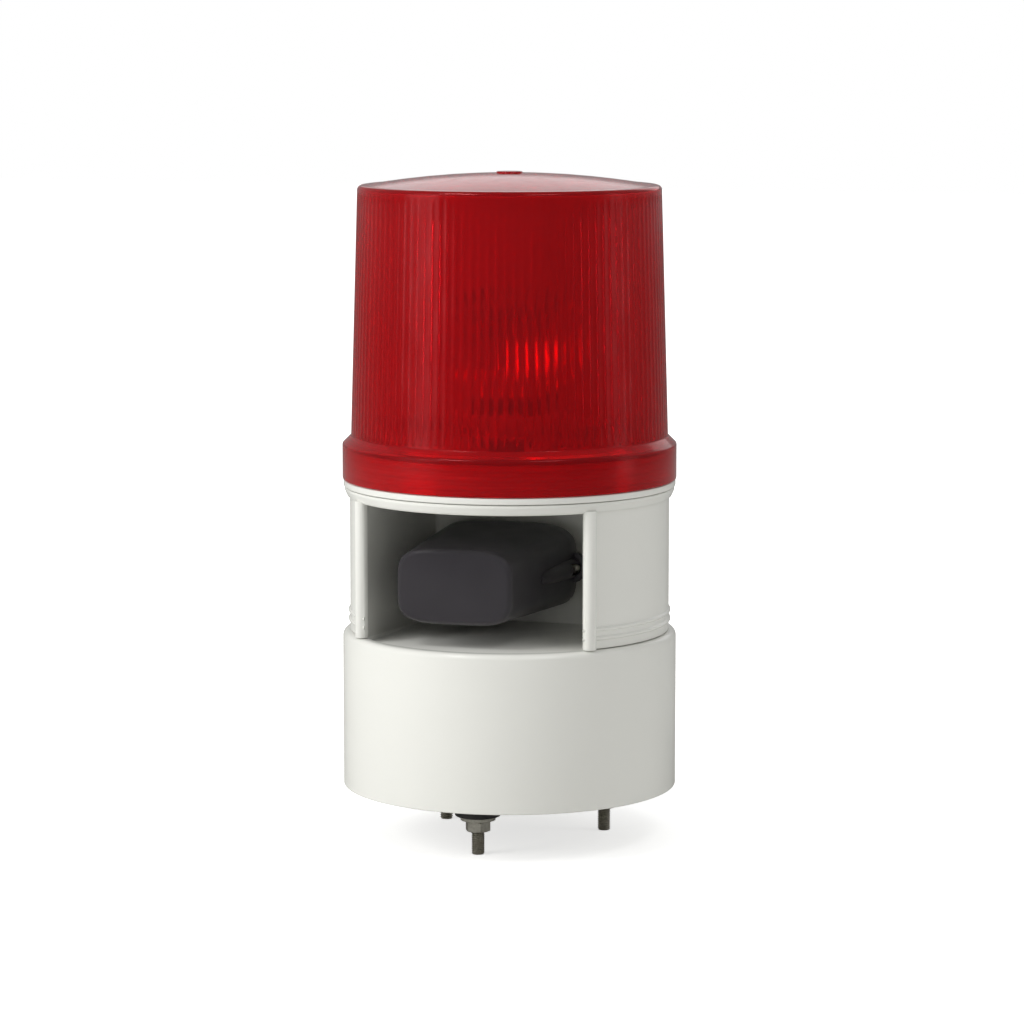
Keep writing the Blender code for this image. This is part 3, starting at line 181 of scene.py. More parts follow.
@dataclass(frozen=True)
class Finish:
    """A surface: its name, colour and how rough and metallic it is."""

    name: str
    colour: str
    roughness: float
    metallic: float = 0.0
    ior: float = 1.5

    def material(self) -> bpy.types.Material:
        """Builds the material once and returns it from then on."""
        known = bpy.data.materials.get(self.name)
        if known:
            return known
        made = bpy.data.materials.new(self.name)
        made.use_nodes = True
        tree = made.node_tree
        surface = tree.nodes["Principled BSDF"]
        surface.inputs["Base Color"].default_value = linear(self.colour)
        surface.inputs["Roughness"].default_value = self.roughness
        surface.inputs["Metallic"].default_value = self.metallic
        if self.metallic == 0.0:
            surface.inputs["IOR"].default_value = self.ior
        place = add_node(tree, "ShaderNodeTexCoord").outputs["Object"]
        self.dress(tree, surface, place)
        return made

    def dress(self, tree: Tree, surface: Node, place: Socket) -> None:
        """Adds the surface's own pattern; the plain finish has none."""

    def noise(
        self, tree: Tree, place: Socket, size: float, detail: float, stretch: Corner = (1.0, 1.0, 1.0)
    ) -> Socket:
        """A noise whose grains are about a size in millimetres.

        Args:
            tree: the material's tree.
            place: the coordinates that it reads, in metres.
            size: the grains' size in millimetres.
            detail: how many finer layers are added.
            stretch: how much shorter the grains are along each axis.

        Returns:
            The noise's value, near 0.5.
        """
        spread = add_node(tree, "ShaderNodeMapping", {"Vector": place, "Scale": stretch})
        scale = 1.0 / (size * MM)
        texture = add_node(
            tree, "ShaderNodeTexNoise", {"Vector": spread.outputs[0], "Scale": scale, "Detail": detail}
        )
        return texture.outputs["Fac"]

    def between(self, tree: Tree, value: Socket, low: float, high: float, soft: float = 0.5) -> Socket:
        """Spreads a noise's middle range over low to high.

        Args:
            tree: the material's tree.
            value: the noise.
            low: what its low side becomes.
            high: what its high side becomes.
            soft: how wide a range of the noise is used, from 0 to 1.

        Returns:
            The new value.
        """
        middle = 0.5
        spread = add_node(
            tree,
            "ShaderNodeMapRange",
            {
                "Value": value,
                "From Min": middle - soft / 2,
                "From Max": middle + soft / 2,
                "To Min": low,
                "To Max": high,
            },
        )
        return spread.outputs["Result"]

    def tint(self, tree: Tree, surface: Node, share: Socket, other: str) -> None:
        """Mixes the base colour with another one by a share."""
        source = surface.inputs["Base Color"]
        mixed = add_node(
            tree,
            "ShaderNodeMix",
            {"Factor": share, 6: source.default_value[:], 7: linear(other)},
            data_type="RGBA",
        )
        tree.links.new(mixed.outputs[2], source)

    def bump(self, tree: Tree, surface: Node, height: Socket, depth: float, strength: float = 1.0) -> None:
        """Raises the surface by a height pattern, up to a depth in millimetres."""
        bump = add_node(
            tree,
            "ShaderNodeBump",
            {"Height": height, "Distance": depth * MM, "Strength": strength},
        )
        tree.links.new(bump.outputs["Normal"], surface.inputs["Normal"])


@dataclass(frozen=True)
class MouldedPlastic(Finish):
    """Injection-moulded plastic: even colour, a faint ripple from the mould, specks if asked."""

    ripple: float = 0.003  # mm high
    ripple_size: float = 6.0
    shade: str = "#c9cac3"
    shade_share: float = 0.05
    shade_size: float = 38.0
    gloss_size: float = 9.0
    roughness_spread: float = 0.025
    specks: float = 0.0  # radius in mm
    speck_spacing: float = 17.0
    speck_share: float = 0.45  # of the second colour in a speck
    empty_cells: float = 0.62  # share of the specks' places that stay empty
    coat: float = 0.0
    coat_roughness: float = 0.12

    def dress(self, tree: Tree, surface: Node, place: Socket) -> None:
        """Adds the ripple, the slow change of gloss and colour, and the specks."""
        surface.inputs["Coat Weight"].default_value = self.coat
        surface.inputs["Coat Roughness"].default_value = self.coat_roughness
        slow = self.noise(tree, place, self.shade_size, 3.0)
        share = self.between(tree, slow, 0.0, self.shade_share)
        if self.specks:
            share = self.speckled(tree, place, share)
        self.tint(tree, surface, share, self.shade)
        gloss = self.between(
            tree,
            self.noise(tree, place, self.gloss_size, 4.0),
            self.roughness - self.roughness_spread,
            self.roughness + self.roughness_spread,
        )
        tree.links.new(gloss, surface.inputs["Roughness"])
        self.bump(tree, surface, self.noise(tree, place, self.ripple_size, 3.0), self.ripple)

    def speckled(self, tree: Tree, place: Socket, share: Socket) -> Socket:
        """Adds loosely scattered specks to the share of the second colour.

        Args:
            tree: the material's tree.
            place: the coordinates that the specks read, in metres.
            share: the second colour's share without them.

        Returns:
            Its share with them.
        """
        cells = add_node(
            tree,
            "ShaderNodeTexVoronoi",
            {"Vector": place, "Scale": 1.0 / (self.speck_spacing * MM), "Randomness": 1.0},
            feature="F1",
        )
        near = sum_node(tree, "LESS_THAN", cells.outputs["Distance"], self.specks / self.speck_spacing)
        few = add_node(tree, "ShaderNodeSeparateColor", {0: cells.outputs["Color"]})
        chosen = sum_node(tree, "GREATER_THAN", few.outputs[0], self.empty_cells)
        dot = sum_node(tree, "MULTIPLY", near, chosen)
        faint = sum_node(tree, "MULTIPLY", dot, self.speck_share)
        total = add_node(tree, "ShaderNodeMath", {0: faint, 1: share}, operation="ADD", use_clamp=True)
        return total.outputs[0]


@dataclass(frozen=True)
class ClearRedPlastic(Finish):
    """Dyed polycarbonate, clear and moulded: deep red through its wall, with glossy skin.

    Its reflections are weaker and redder than the real plastic's, so that the white
    surround doesn't wash its colour out.
    """

    clear: float = 0.84
    shine: float = 0.22  # 0.5 would be the plastic's own
    shine_tint: str = "#ff9296"
    flow_size: float = 26.0
    flow_shade: str = "#8e0b12"
    flow_share: float = 0.16
    gloss_size: float = 6.0
    gloss_range: tuple[float, float] = (0.7, 1.5)  # times the roughness
    wave_size: float = 9.0
    wave_height: float = 0.01

    def dress(self, tree: Tree, surface: Node, place: Socket) -> None:
        """Adds transmission, the tinted reflection, and a flow of the melt in colour and gloss."""
        surface.inputs["Transmission Weight"].default_value = self.clear
        surface.inputs["Specular IOR Level"].default_value = self.shine
        surface.inputs["Specular Tint"].default_value = linear(self.shine_tint)
        flow = self.noise(tree, place, self.flow_size, 3.0, (1.0, 1.0, 0.25))
        self.tint(tree, surface, self.between(tree, flow, 0.0, self.flow_share), self.flow_shade)
        gloss = self.noise(tree, place, self.gloss_size, 4.0, (1.0, 1.0, 0.4))
        low, high = (self.roughness * times for times in self.gloss_range)
        tree.links.new(self.between(tree, gloss, low, high), surface.inputs["Roughness"])
        waves = self.noise(tree, place, self.wave_size, 2.0, (1.0, 1.0, 0.5))
        self.bump(tree, surface, waves, self.wave_height)


@dataclass(frozen=True)
class PlatedSteel(Finish):
    """Zinc-plated steel: grey, softly mottled by the crystals, with fine drawing lines."""

    lines: tuple[float, float, float] = (1.0, 1.0, 0.08)
    line_size: float = 0.35
    line_depth: float = 0.02
    crystal_size: float = 1.6
    crystal_shade: str = "#9d998d"
    crystal_share: float = 0.6
    roughness_down: float = 0.1
    roughness_up: float = 0.14

    def dress(self, tree: Tree, surface: Node, place: Socket) -> None:
        """Adds crystals in the colour, and lines in the gloss and the relief."""
        crystals = self.noise(tree, place, self.crystal_size, 4.0)
        self.tint(tree, surface, self.between(tree, crystals, 0.0, self.crystal_share), self.crystal_shade)
        drawn = self.noise(tree, place, self.line_size, 2.0, self.lines)
        low, high = self.roughness - self.roughness_down, self.roughness + self.roughness_up
        tree.links.new(self.between(tree, drawn, low, high), surface.inputs["Roughness"])
        self.bump(tree, surface, drawn, self.line_depth, 0.6)


@dataclass(frozen=True)
class SoftRubber(Finish):
    """Black moulded rubber: matte, fine-grained, with a little chalky bloom."""

    bloom_size: float = 7.0
    bloom_shade: str = "#4a4846"
    bloom_share: float = 0.35
    grain_size: float = 0.5
    grain_height: float = 0.03

    def dress(self, tree: Tree, surface: Node, place: Socket) -> None:
        """Adds the bloom and the grain."""
        bloom = self.noise(tree, place, self.bloom_size, 5.0)
        self.tint(tree, surface, self.between(tree, bloom, 0.0, self.bloom_share, 0.4), self.bloom_shade)
        self.bump(tree, surface, self.noise(tree, place, self.grain_size, 3.0), self.grain_height)


@dataclass(frozen=True)
class BrightMetal(Finish):
    """Polished, plated or metallised metal: a mirror with faint smears and a slow tarnish."""

    smear: float = 0.08
    smear_size: float = 5.0
    tarnish: str = "#8a8a8c"
    tarnish_share: float = 0.12
    tarnish_size: float = 8.0

    def dress(self, tree: Tree, surface: Node, place: Socket) -> None:
        """Adds smears to the gloss and a slow tarnish to the colour."""
        smears = self.noise(tree, place, self.smear_size, 5.0)
        gloss = self.between(tree, smears, self.roughness, self.roughness + self.smear, 0.4)
        tree.links.new(gloss, surface.inputs["Roughness"])
        slow = self.noise(tree, place, self.tarnish_size, 3.0)
        self.tint(tree, surface, self.between(tree, slow, 0.0, self.tarnish_share), self.tarnish)


@dataclass(frozen=True)
class ClearGlass(Finish):
    """Blown soda-lime glass, thin and clear, with slight waves."""

    wave_size: float = 7.0
    wave_height: float = 0.02

    def dress(self, tree: Tree, surface: Node, place: Socket) -> None:
        """Adds transmission and the waves."""
        surface.inputs["Transmission Weight"].default_value = 1.0
        self.bump(tree, surface, self.noise(tree, place, self.wave_size, 1.0), self.wave_height, 0.5)


@dataclass(frozen=True)
class WovenBoard(Finish):
    """Glass-fibre circuit board: green lacquer over a fine weave."""

    weave: float = 1.0  # mm between threads, coarser than the real 0.4 so that it shows
    weave_shade: str = "#3f7d4d"
    weave_share: float = 0.3
    weave_height: float = 0.03
    wave_length: float = 0.314  # of Blender's bands at a scale of 1

    def dress(self, tree: Tree, surface: Node, place: Socket) -> None:
        """Adds the weave as two crossed waves."""
        waves = []
        for axis in ("X", "Y"):
            wave = add_node(
                tree,
                "ShaderNodeTexWave",
                {"Vector": place, "Scale": self.wave_length / (self.weave * MM), "Distortion": 0.4},
                bands_direction=axis,
            )
            waves.append(wave.outputs["Fac"])
        weave = sum_node(tree, "MULTIPLY", *waves)
        faint = self.between(tree, weave, 0.0, self.weave_share, 1.0)
        self.tint(tree, surface, faint, self.weave_shade)
        self.bump(tree, surface, weave, self.weave_height)


# ABS, satin gloss with a warm grey-white: the drum, base and lamp base.
WHITE_ABS = MouldedPlastic("moulded_white_abs", "#dfdfd9", 0.24, specks=0.3, coat=0.2)
# Clear dyed polycarbonate of the lens, which glows where light comes through both walls.
RED_POLYCARBONATE = ClearRedPlastic("clear_red_polycarbonate", "#ee1b26", 0.12, ior=1.5)
# Black ABS with a violet cast under light, satin from a fine spark-eroded mould.
BLACK_ABS = MouldedPlastic(
    "moulded_black_abs", "#2a272b", 0.36, ripple=0.02, ripple_size=0.9, shade="#37333a", shade_share=0.5
)
# Phenolic of the lamp socket: deep black, a little glossier.
PHENOLIC = MouldedPlastic("moulded_black_phenolic", "#141313", 0.33, shade="#221f1e", shade_share=0.5)
# Undyed nylon: creamy and waxy.
NYLON = MouldedPlastic("moulded_natural_nylon", "#dcd8c8", 0.45, shade="#c4bda6", shade_share=0.35)
ZINC_STEEL = PlatedSteel("zinc_plated_steel", "#d3d0c6", 0.42, 1.0)
BLACK_RUBBER = SoftRubber("black_rubber", "#1c1b1b", 0.72)
# Vacuum-metallised reflector: close to a mirror.
CHROME = BrightMetal("metallised_chrome", "#e4e5e8", 0.05, 1.0)
BRASS = BrightMetal("bright_brass", "#d6b26a", 0.2, 1.0, tarnish="#8d6c33", tarnish_share=0.35)
ALUMINIUM = PlatedSteel("extruded_aluminium", "#c9cacc", 0.38, 1.0, lines=(1.0, 1.0, 0.05))
BULB_GLASS = ClearGlass("blown_glass", "#fbfbf8", 0.02, ior=1.52)
TUNGSTEN = BrightMetal("coiled_tungsten", "#6f6d6a", 0.35, 1.0, tarnish="#3b3937", tarnish_share=0.4)
CIRCUIT_BOARD = WovenBoard("glass_fibre_board", "#12502a", 0.38)
# Sintered ferrite takes the same finish with a fine grain.
FERRITE = MouldedPlastic(
    "sintered_ferrite", "#35353a", 0.6, ripple_size=0.6, shade="#46464c", shade_share=0.6
)
PAPER = MouldedPlastic("pressed_paper", "#2b2926", 0.85, ripple=0.05, ripple_size=1.1, shade="#3a3733")


# ---- geometry node trees ---------------------------------------------------------------


def new_tree(name: str, sizes: Sequence[tuple[str, str, float]]) -> tuple[Tree, Node]:
    """Starts a geometry tree with named inputs for its sizes.

    Args:
        name: the tree's name.
        sizes: each input's name, socket type and default value.

    Returns:
        The tree and its input node.
    """
    tree = bpy.data.node_groups.new(name, "GeometryNodeTree")
    tree.interface.new_socket("Geometry", in_out="OUTPUT", socket_type="NodeSocketGeometry")
    tree.interface.new_socket("Geometry", in_out="INPUT", socket_type="NodeSocketGeometry")
    for label, kind, value in sizes:
        socket = tree.interface.new_socket(label, in_out="INPUT", socket_type=kind)
        socket.default_value = value
    tree.interface.new_socket("Material", in_out="INPUT", socket_type="NodeSocketMaterial")
    return tree, add_node(tree, "NodeGroupInput")


def end_tree(tree: Tree, start: Node, shape: Socket, merge: float) -> None:
    """Ends a tree: makes its copies real, merges their points and gives them the material."""
    real = add_node(tree, "GeometryNodeRealizeInstances", {"Geometry": shape})
    merged = add_node(tree, "GeometryNodeMergeByDistance", {"Geometry": real.outputs[0], "Distance": merge})
    dressed = add_node(
        tree,
        "GeometryNodeSetMaterial",
        {"Geometry": merged.outputs[0], "Material": start.outputs["Material"]},
    )
    add_node(tree, "NodeGroupOutput", {0: dressed.outputs[0]})


def round_repeat_tree() -> Tree:
    """Builds the tree that repeats its mesh round the Z axis: flutes, teeth, bolts.

    Returns:
        A tree with an input "Count".
    """
    tree, start = new_tree("Repeat round the axis", [("Count", "NodeSocketInt", 3)])
    points = add_node(tree, "GeometryNodePoints", {"Count": start.outputs["Count"]})
    index = add_node(tree, "GeometryNodeInputIndex")
    turn = sum_node(tree, "DIVIDE", 2 * pi, start.outputs["Count"])
    angle = sum_node(tree, "MULTIPLY", index.outputs[0], turn)
    euler = add_node(tree, "ShaderNodeCombineXYZ", {"Z": angle})
    rotation = add_node(tree, "FunctionNodeEulerToRotation", {0: euler.outputs[0]})
    copies = add_node(
        tree,
        "GeometryNodeInstanceOnPoints",
        {
            "Points": points.outputs[0],
            "Instance": start.outputs["Geometry"],
            "Rotation": rotation.outputs[0],
        },
    )
    end_tree(tree, start, copies.outputs[0], WELD * MM)
    return tree


def threaded_rod_tree() -> Tree:
    """Builds the tree that makes a rod with a screw thread, standing on the origin.

    Returns:
        A tree with inputs "Radius", "Length", "Pitch", "Depth" and "Sides".
    """
    sizes = [
        ("Radius", "NodeSocketFloat", 0.003),
        ("Length", "NodeSocketFloat", 0.03),
        ("Pitch", "NodeSocketFloat", 0.001),
        ("Depth", "NodeSocketFloat", 0.0006),
        ("Sides", "NodeSocketInt", 24),
    ]
    tree, start = new_tree("Threaded rod", sizes)

    def math(operation: str, *values: object) -> Socket:
        return sum_node(tree, operation, *values)

    length, radius = start.outputs["Length"], start.outputs["Radius"]
    rings_each_turn = 6.0
    turns = math("DIVIDE", length, start.outputs["Pitch"])
    segments = math("MULTIPLY", turns, rings_each_turn)
    rod = add_node(
        tree,
        "GeometryNodeMeshCylinder",
        {
            "Vertices": start.outputs["Sides"],
            "Side Segments": segments,
            "Radius": radius,
            "Depth": length,
        },
    )
    where = add_node(tree, "GeometryNodeInputPosition")
    parts = add_node(tree, "ShaderNodeSeparateXYZ", {0: where.outputs[0]})
    x, y, z = parts.outputs
    angle = math("DIVIDE", math("ARCTAN2", y, x), 2 * pi)
    phase = math("FRACT", math("SUBTRACT", math("DIVIDE", z, start.outputs["Pitch"]), angle))
    saw = math("ABSOLUTE", math("SUBTRACT", math("MULTIPLY", phase, 2.0), 1.0))
    from_end = math("SUBTRACT", math("MULTIPLY", length, 0.5), math("ABSOLUTE", z))
    chamfer = math("SUBTRACT", start.outputs["Depth"], from_end)
    groove = math("MULTIPLY", saw, start.outputs["Depth"])
    inset = math("MAXIMUM", groove, chamfer)
    shrink = math("SUBTRACT", 1.0, math("DIVIDE", inset, radius))
    scaled = add_node(
        tree,
        "ShaderNodeCombineXYZ",
        {
            0: math("MULTIPLY", x, shrink),
            1: math("MULTIPLY", y, shrink),
            2: math("ADD", z, math("MULTIPLY", length, 0.5)),
        },
    )
    formed = add_node(
        tree, "GeometryNodeSetPosition", {"Geometry": rod.outputs[0], "Position": scaled.outputs[0]}
    )
    end_tree(tree, start, formed.outputs[0], WELD / 2 * MM)
    return tree


# ---- mesh tools ------------------------------------------------------------------------


def new_object(name: str, data: bpy.types.Mesh | bpy.types.Curve) -> Solid:
    """Links a mesh or a curve as an object at the origin."""
    made = bpy.data.objects.new(name, data)
    bpy.context.scene.collection.objects.link(made)
    return made


def from_bmesh(name: str, shape: bmesh.types.BMesh, place: Matrix | None = None) -> Solid:
    """Makes an object of a bmesh, its faces outward, and frees it.

    Args:
        name: the object's name.
        shape: the bmesh.
        place: where it goes; its points are moved there.

    Returns:
        The object.
    """
    if place is not None:
        bmesh.ops.transform(shape, matrix=place, verts=shape.verts)
    bmesh.ops.recalc_face_normals(shape, faces=shape.faces)
    mesh = bpy.data.meshes.new(name)
    shape.to_mesh(mesh)
    shape.free()
    return new_object(name, mesh)


def baked(made: Solid) -> Solid:
    """Turns an object's modifiers into a plain mesh."""
    bpy.context.view_layer.update()
    graph = bpy.context.evaluated_depsgraph_get()
    mesh = bpy.data.meshes.new_from_object(made.evaluated_get(graph))
    made.modifiers.clear()
    old, made.data = made.data, mesh
    if old.users == 0:
        bpy.data.meshes.remove(old)
    return made


def grown(made: Solid, tree: Tree, finish: Finish, **sizes) -> Solid:
    """Runs a geometry tree on an object and keeps the result as its mesh.

    Args:
        made: the object whose mesh the tree starts from.
        tree: the tree.
        finish: the finish that the tree gives.
        **sizes: values of the tree's named inputs, with _ for a space.

    Returns:
        The same object.
    """
    modifier = made.modifiers.new(tree.name, "NODES")
    modifier.node_group = tree
    keys = {item.name: item.identifier for item in tree.interface.items_tree if item.in_out == "INPUT"}
    for label, value in sizes.items():
        modifier[keys[label.replace("_", " ").capitalize()]] = value
    modifier[keys["Material"]] = finish.material()
    return baked(made)


def combined(target: Solid, others: Iterable[Solid], how: Join) -> Solid:
    """Cuts, joins or intersects a solid with others, which are used up.

    Args:
        target: the solid that stays.
        others: the solids that change it.
        how: what they do to it.

    Returns:
        The target.
    """
    others = list(others)
    for other in others:
        change = target.modifiers.new(other.name, "BOOLEAN")
        change.operation = how.value
        change.solver = "EXACT"
        change.object = other
    baked(target)
    for other in others:
        bpy.data.objects.remove(other)
    return target


def merged(name: str, pieces: Sequence[Solid]) -> Solid:
    """Puts several meshes into one object, which takes the name.

    Args:
        name: the new object's name.
        pieces: the objects that go into it.

    Returns:
        The new object.
    """
    shape = bmesh.new()
    for piece in pieces:
        shape.from_mesh(piece.data)
        bpy.data.objects.remove(piece)
    mesh = bpy.data.meshes.new(name)
    shape.to_mesh(mesh)
    shape.free()
    return new_object(name, mesh)


def softened(made: Solid, width: float, segments: int = 2, angle: float = 35.0) -> Solid:
    """Rounds an object's edges by a width in millimetres."""
    edge = made.modifiers.new("Edges", "BEVEL")
    edge.width = width * MM
    edge.segments = segments
    edge.limit_method = "ANGLE"
    edge.angle_limit = radians(angle)
    edge.miter_outer = "MITER_ARC"
    return baked(made)


def rounded(corners: Sequence[Corner], closed: bool = True, steps: int = 5) -> list[Point]:
    """Rounds the corners of an outline.

    Args:
        corners: each corner's two coordinates and the radius of its rounding.
        closed: whether the last corner joins the first.
        steps: pieces in each rounding.

    Returns:
        The outline's points, in the corners' units.
    """
    straight = radians(89)
    points: list[Point] = []
    count = len(corners)
    for i, (x, y, fillet) in enumerate(corners):
        if fillet <= 0 or (not closed and i in (0, count - 1)):
            points.append((x, y))
            continue
        here = Vector((x, y))
        back = Vector(corners[i - 1][:2]) - here
        ahead = Vector(corners[(i + 1) % count][:2]) - here
        half = acos(max(-1.0, min(1.0, back.normalized().dot(ahead.normalized())))) / 2
        if half > straight:
            points.append((x, y))
            continue
        reach = min(fillet / tan(half), 0.49 * back.length, 0.49 * ahead.length)
        radius = reach * tan(half)
        centre = here + (back.normalized() + ahead.normalized()).normalized() * (radius / sin(half))
        first = here + back.normalized() * reach - centre
        last = here + ahead.normalized() * reach - centre
        start = atan2(first.y, first.x)
        sweep = (atan2(last.y, last.x) - start + pi) % (2 * pi) - pi
        for k in range(steps + 1):
            angle = start + sweep * k / steps
            points.append((centre.x + radius * cos(angle), centre.y + radius * sin(angle)))
    return points


def bridge(
    shape: bmesh.types.BMesh,
    low: Sequence[bmesh.types.BMVert],
    high: Sequence[bmesh.types.BMVert],
    i: int,
    j: int,
) -> None:
    """Adds the face between two neighbours of one ring and the same two of the next.

    Args:
        shape: the bmesh that it goes into.
        low: the first ring; a ring of one point makes the face a triangle.
        high: the next ring.
        i: the first neighbour's number.
        j: the second neighbour's number.
    """
    corners = [low[i % len(low)], low[j % len(low)], high[j % len(high)], high[i % len(high)]]
    shape.faces.new(list(dict.fromkeys(corners)))


def turned(name: str, profile: Sequence[Point], sides: int = SMALL, place: Matrix | None = None) -> Solid:
    """Turns a profile of (radius, height) in millimetres about Z.

    Args:
        name: the object's name.
        profile: the profile; it closes on itself unless it starts and ends on the axis.
        sides: sides of the turned shape.
        place: where it goes, in metres.

    Returns:
        The closed object.
    """
    shape = bmesh.new()
    rings = []
    for radius, height in profile:
        if radius < ON_AXIS:
            rings.append([shape.verts.new((0.0, 0.0, height * MM))])
            continue
        turns = [2 * pi * i / sides for i in range(sides)]
        circle = [(radius * cos(a) * MM, radius * sin(a) * MM, height * MM) for a in turns]
        rings.append([shape.verts.new(point) for point in circle])
    pairs = list(zip(rings, rings[1:]))
    if len(rings[0]) > 1:
        pairs.append((rings[-1], rings[0]))
    for low, high in pairs:
        for i in range(sides if len(low) + len(high) > 2 else 0):
            j = (i + 1) % sides
            bridge(shape, low, high, i, j)
    return from_bmesh(name, shape, place)


def skinned(name: str, rings: Sequence[Sequence[Vector]], place: Matrix | None = None) -> Solid:
    """Skins rings of points, in metres; a ring of one point closes an end.

    Args:
        name: the object's name.
        rings: the rings, of equal counts apart from the single points.
        place: where it goes.

    Returns:
        The closed object.
    """
    shape = bmesh.new()
    rows = [[shape.verts.new(point) for point in ring] for ring in rings]
    count = max(len(row) for row in rows)
    for low, high in zip(rows, rows[1:]):
        for i in range(count):
            j = (i + 1) % count
            bridge(shape, low, high, i, j)
    for row in (rows[0], rows[-1]):
        if len(row) > 1:
            shape.faces.new(row)
    return from_bmesh(name, shape, place)


def plate(
    name: str,
    loops: Sequence[Sequence[Point]],
    thickness: float,
    place: Matrix | None = None,
    edge: float = 0.0,
) -> Solid:
    """Cuts a flat plate that stands on z = 0, in millimetres.

    Args:
        name: the object's name.
        loops: the outline, then the holes.
        thickness: the plate's thickness.
        place: where it goes, in metres.
        edge: radius of the rounding on its edges.

    Returns:
        The closed object.
    """
    curve = bpy.data.curves.new(name, "CURVE")
    curve.dimensions = "2D"
    curve.fill_mode = "BOTH"
    curve.extrude = (thickness / 2 - edge) * MM
    curve.bevel_depth = edge * MM
    curve.offset = -edge * MM
    curve.bevel_resolution = 1
    for loop in loops:
        spline = curve.splines.new("POLY")
        spline.points.add(len(loop) - 1)
        for point, (x, y) in zip(spline.points, loop):
            point.co = (x * MM, y * MM, 0.0, 1.0)
        spline.use_cyclic_u = True
    shape = curve_surface(curve)
    bmesh.ops.translate(shape, verts=shape.verts, vec=(0.0, 0.0, thickness / 2 * MM))
    bmesh.ops.remove_doubles(shape, verts=shape.verts, dist=WELD * MM)
    return from_bmesh(name, shape, place)


def curve_surface(curve: bpy.types.Curve) -> bmesh.types.BMesh:
    """The surface that a curve's bevel and extrusion make, in metres."""
    made = new_object(curve.name, curve)
    bpy.context.view_layer.update()
    graph = bpy.context.evaluated_depsgraph_get()
    mesh = bpy.data.meshes.new_from_object(made.evaluated_get(graph))
    bpy.data.objects.remove(made)
    shape = bmesh.new()
    shape.from_mesh(mesh)
    return shape


def bar(
    name: str, radius: float, low: float, high: float, place: Matrix | None = None, sides: int = 25
) -> Solid:
    """A plain round bar along Z, in millimetres: a hole's cutter or a boss.

    Args:
        name: the object's name.
        radius: its radius.
        low: its foot.
        high: its top.
        place: where it goes, in metres.
        sides: its sides; an odd number keeps its edges from lining up with others.

    Returns:
        The closed object.
    """
    return turned(name, [(0.0, high), (radius, high), (radius, low), (0.0, low)], sides, place)


def ring_points(radius: float, sides: int = SMALL, centre: Point = (0.0, 0.0)) -> list[Point]:
    """Points of a circle in millimetres."""
    turns = [2 * pi * i / sides for i in range(sides)]
    return [(centre[0] + radius * cos(a), centre[1] + radius * sin(a)) for a in turns]


def box_outline(x0: float, y0: float, x1: float, y1: float, corner: float, steps: int = 6) -> list[Point]:
    """Points of a rectangle with rounded corners."""
    return rounded([(x1, y1, corner), (x0, y1, corner), (x0, y0, corner), (x1, y0, corner)], steps=steps)


def brick(name: str, low: Sequence[float], high: Sequence[float], corner: float = 0.6) -> Solid:
    """A block between two corners in millimetres, its edges rounded."""
    at = Matrix.Translation((0.0, 0.0, low[2] * MM))
    made = plate(name, [box_outline(low[0], low[1], high[0], high[1], corner, 3)], high[2] - low[2], at)
    return softened(made, min(0.6 * corner, 0.8)) if corner > 0.2 else made


def shift(x: float, y: float, z: float) -> Matrix:
    """A move in millimetres."""
    return Matrix.Translation((x * MM, y * MM, z * MM))


def polar(radius: float, degrees: float) -> Point:
    """The point at a radius and an angle from +X."""
    return (radius * cos(radians(degrees)), radius * sin(radians(degrees)))


def numbered(stem: str) -> list[str]:
    """The node names of a fixing that comes three times."""
    return [f"{stem}_{i}" for i in (1, 2, 3)]


@dataclass(frozen=True)
class Span:
    """Where a CAD node is, in millimetres."""

    low: Vector
    high: Vector

    @classmethod
    def of(cls, node: str) -> "Span":
        """Reads a node's box."""
        low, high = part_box(node)
        return cls(low / MM, high / MM)

    @property
    def x(self) -> float:
        """Middle across."""
        return (self.low.x + self.high.x) / 2

    @property
    def z(self) -> float:
        """Middle height."""
        return (self.low.z + self.high.z) / 2

    @property
    def radius(self) -> float:
        """Half the width across."""
        return (self.high.x - self.low.x) / 2

    @property
    def height(self) -> float:
        """Height along Z."""
        return self.high.z - self.low.z

    def band(self, bore: float, edge: float) -> list[Corner]:
        """Corners of a ring's section, from a bore out to the node's own radius."""
        return [
            (bore, self.high.z, edge),
            (self.radius, self.high.z, edge),
            (self.radius, self.low.z, edge),
            (bore, self.low.z, edge),
        ]


def publish(
    made: Solid, body: Body, finish: Finish, nodes: Sequence[str], crease: float = 32.0
) -> Solid:
    """Dresses a finished piece and hands it to the frame.

    Args:
        made: the piece, at the origin.
        body: the body that it rides on.
        finish: its finish.
        nodes: the CAD nodes that it stands for; none for a piece that only adds detail.
        crease: edges sharper than this many degrees stay sharp.

    Returns:
        The piece.
    """
    mesh = made.data
    mesh.materials.clear()
    mesh.materials.append(finish.material())
    mesh.shade_smooth()
    mesh.set_sharp_from_angle(angle=radians(crease))
    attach(made, body.value)
    if nodes:
        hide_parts(*nodes)
    LOG.info("%s: %d faces, rides on %s", made.name, len(mesh.polygons), body.value)
    return made


def dress_node(node: str, finish: Finish) -> None:
    """Gives a CAD node that stays in view a detailed finish."""
    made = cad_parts[node]
    if made.material_slots:
        made.material_slots[0].material = finish.material()
    else:
        made.data.materials.append(finish.material())


@dataclass(frozen=True)
class ScrewSize:
    """The head and the shank of a screw, in millimetres."""

    head_radius: float
    head_height: float
    radius: float


LARGE_SCREW = ScrewSize(3.6, 2.3, 1.9)
MIDDLE_SCREW = ScrewSize(2.85, 2.0, 1.4)
FLAT_SCREW = ScrewSize(2.85, 1.4, 1.4)
TINY_SCREW = ScrewSize(1.5, 1.0, 0.7)


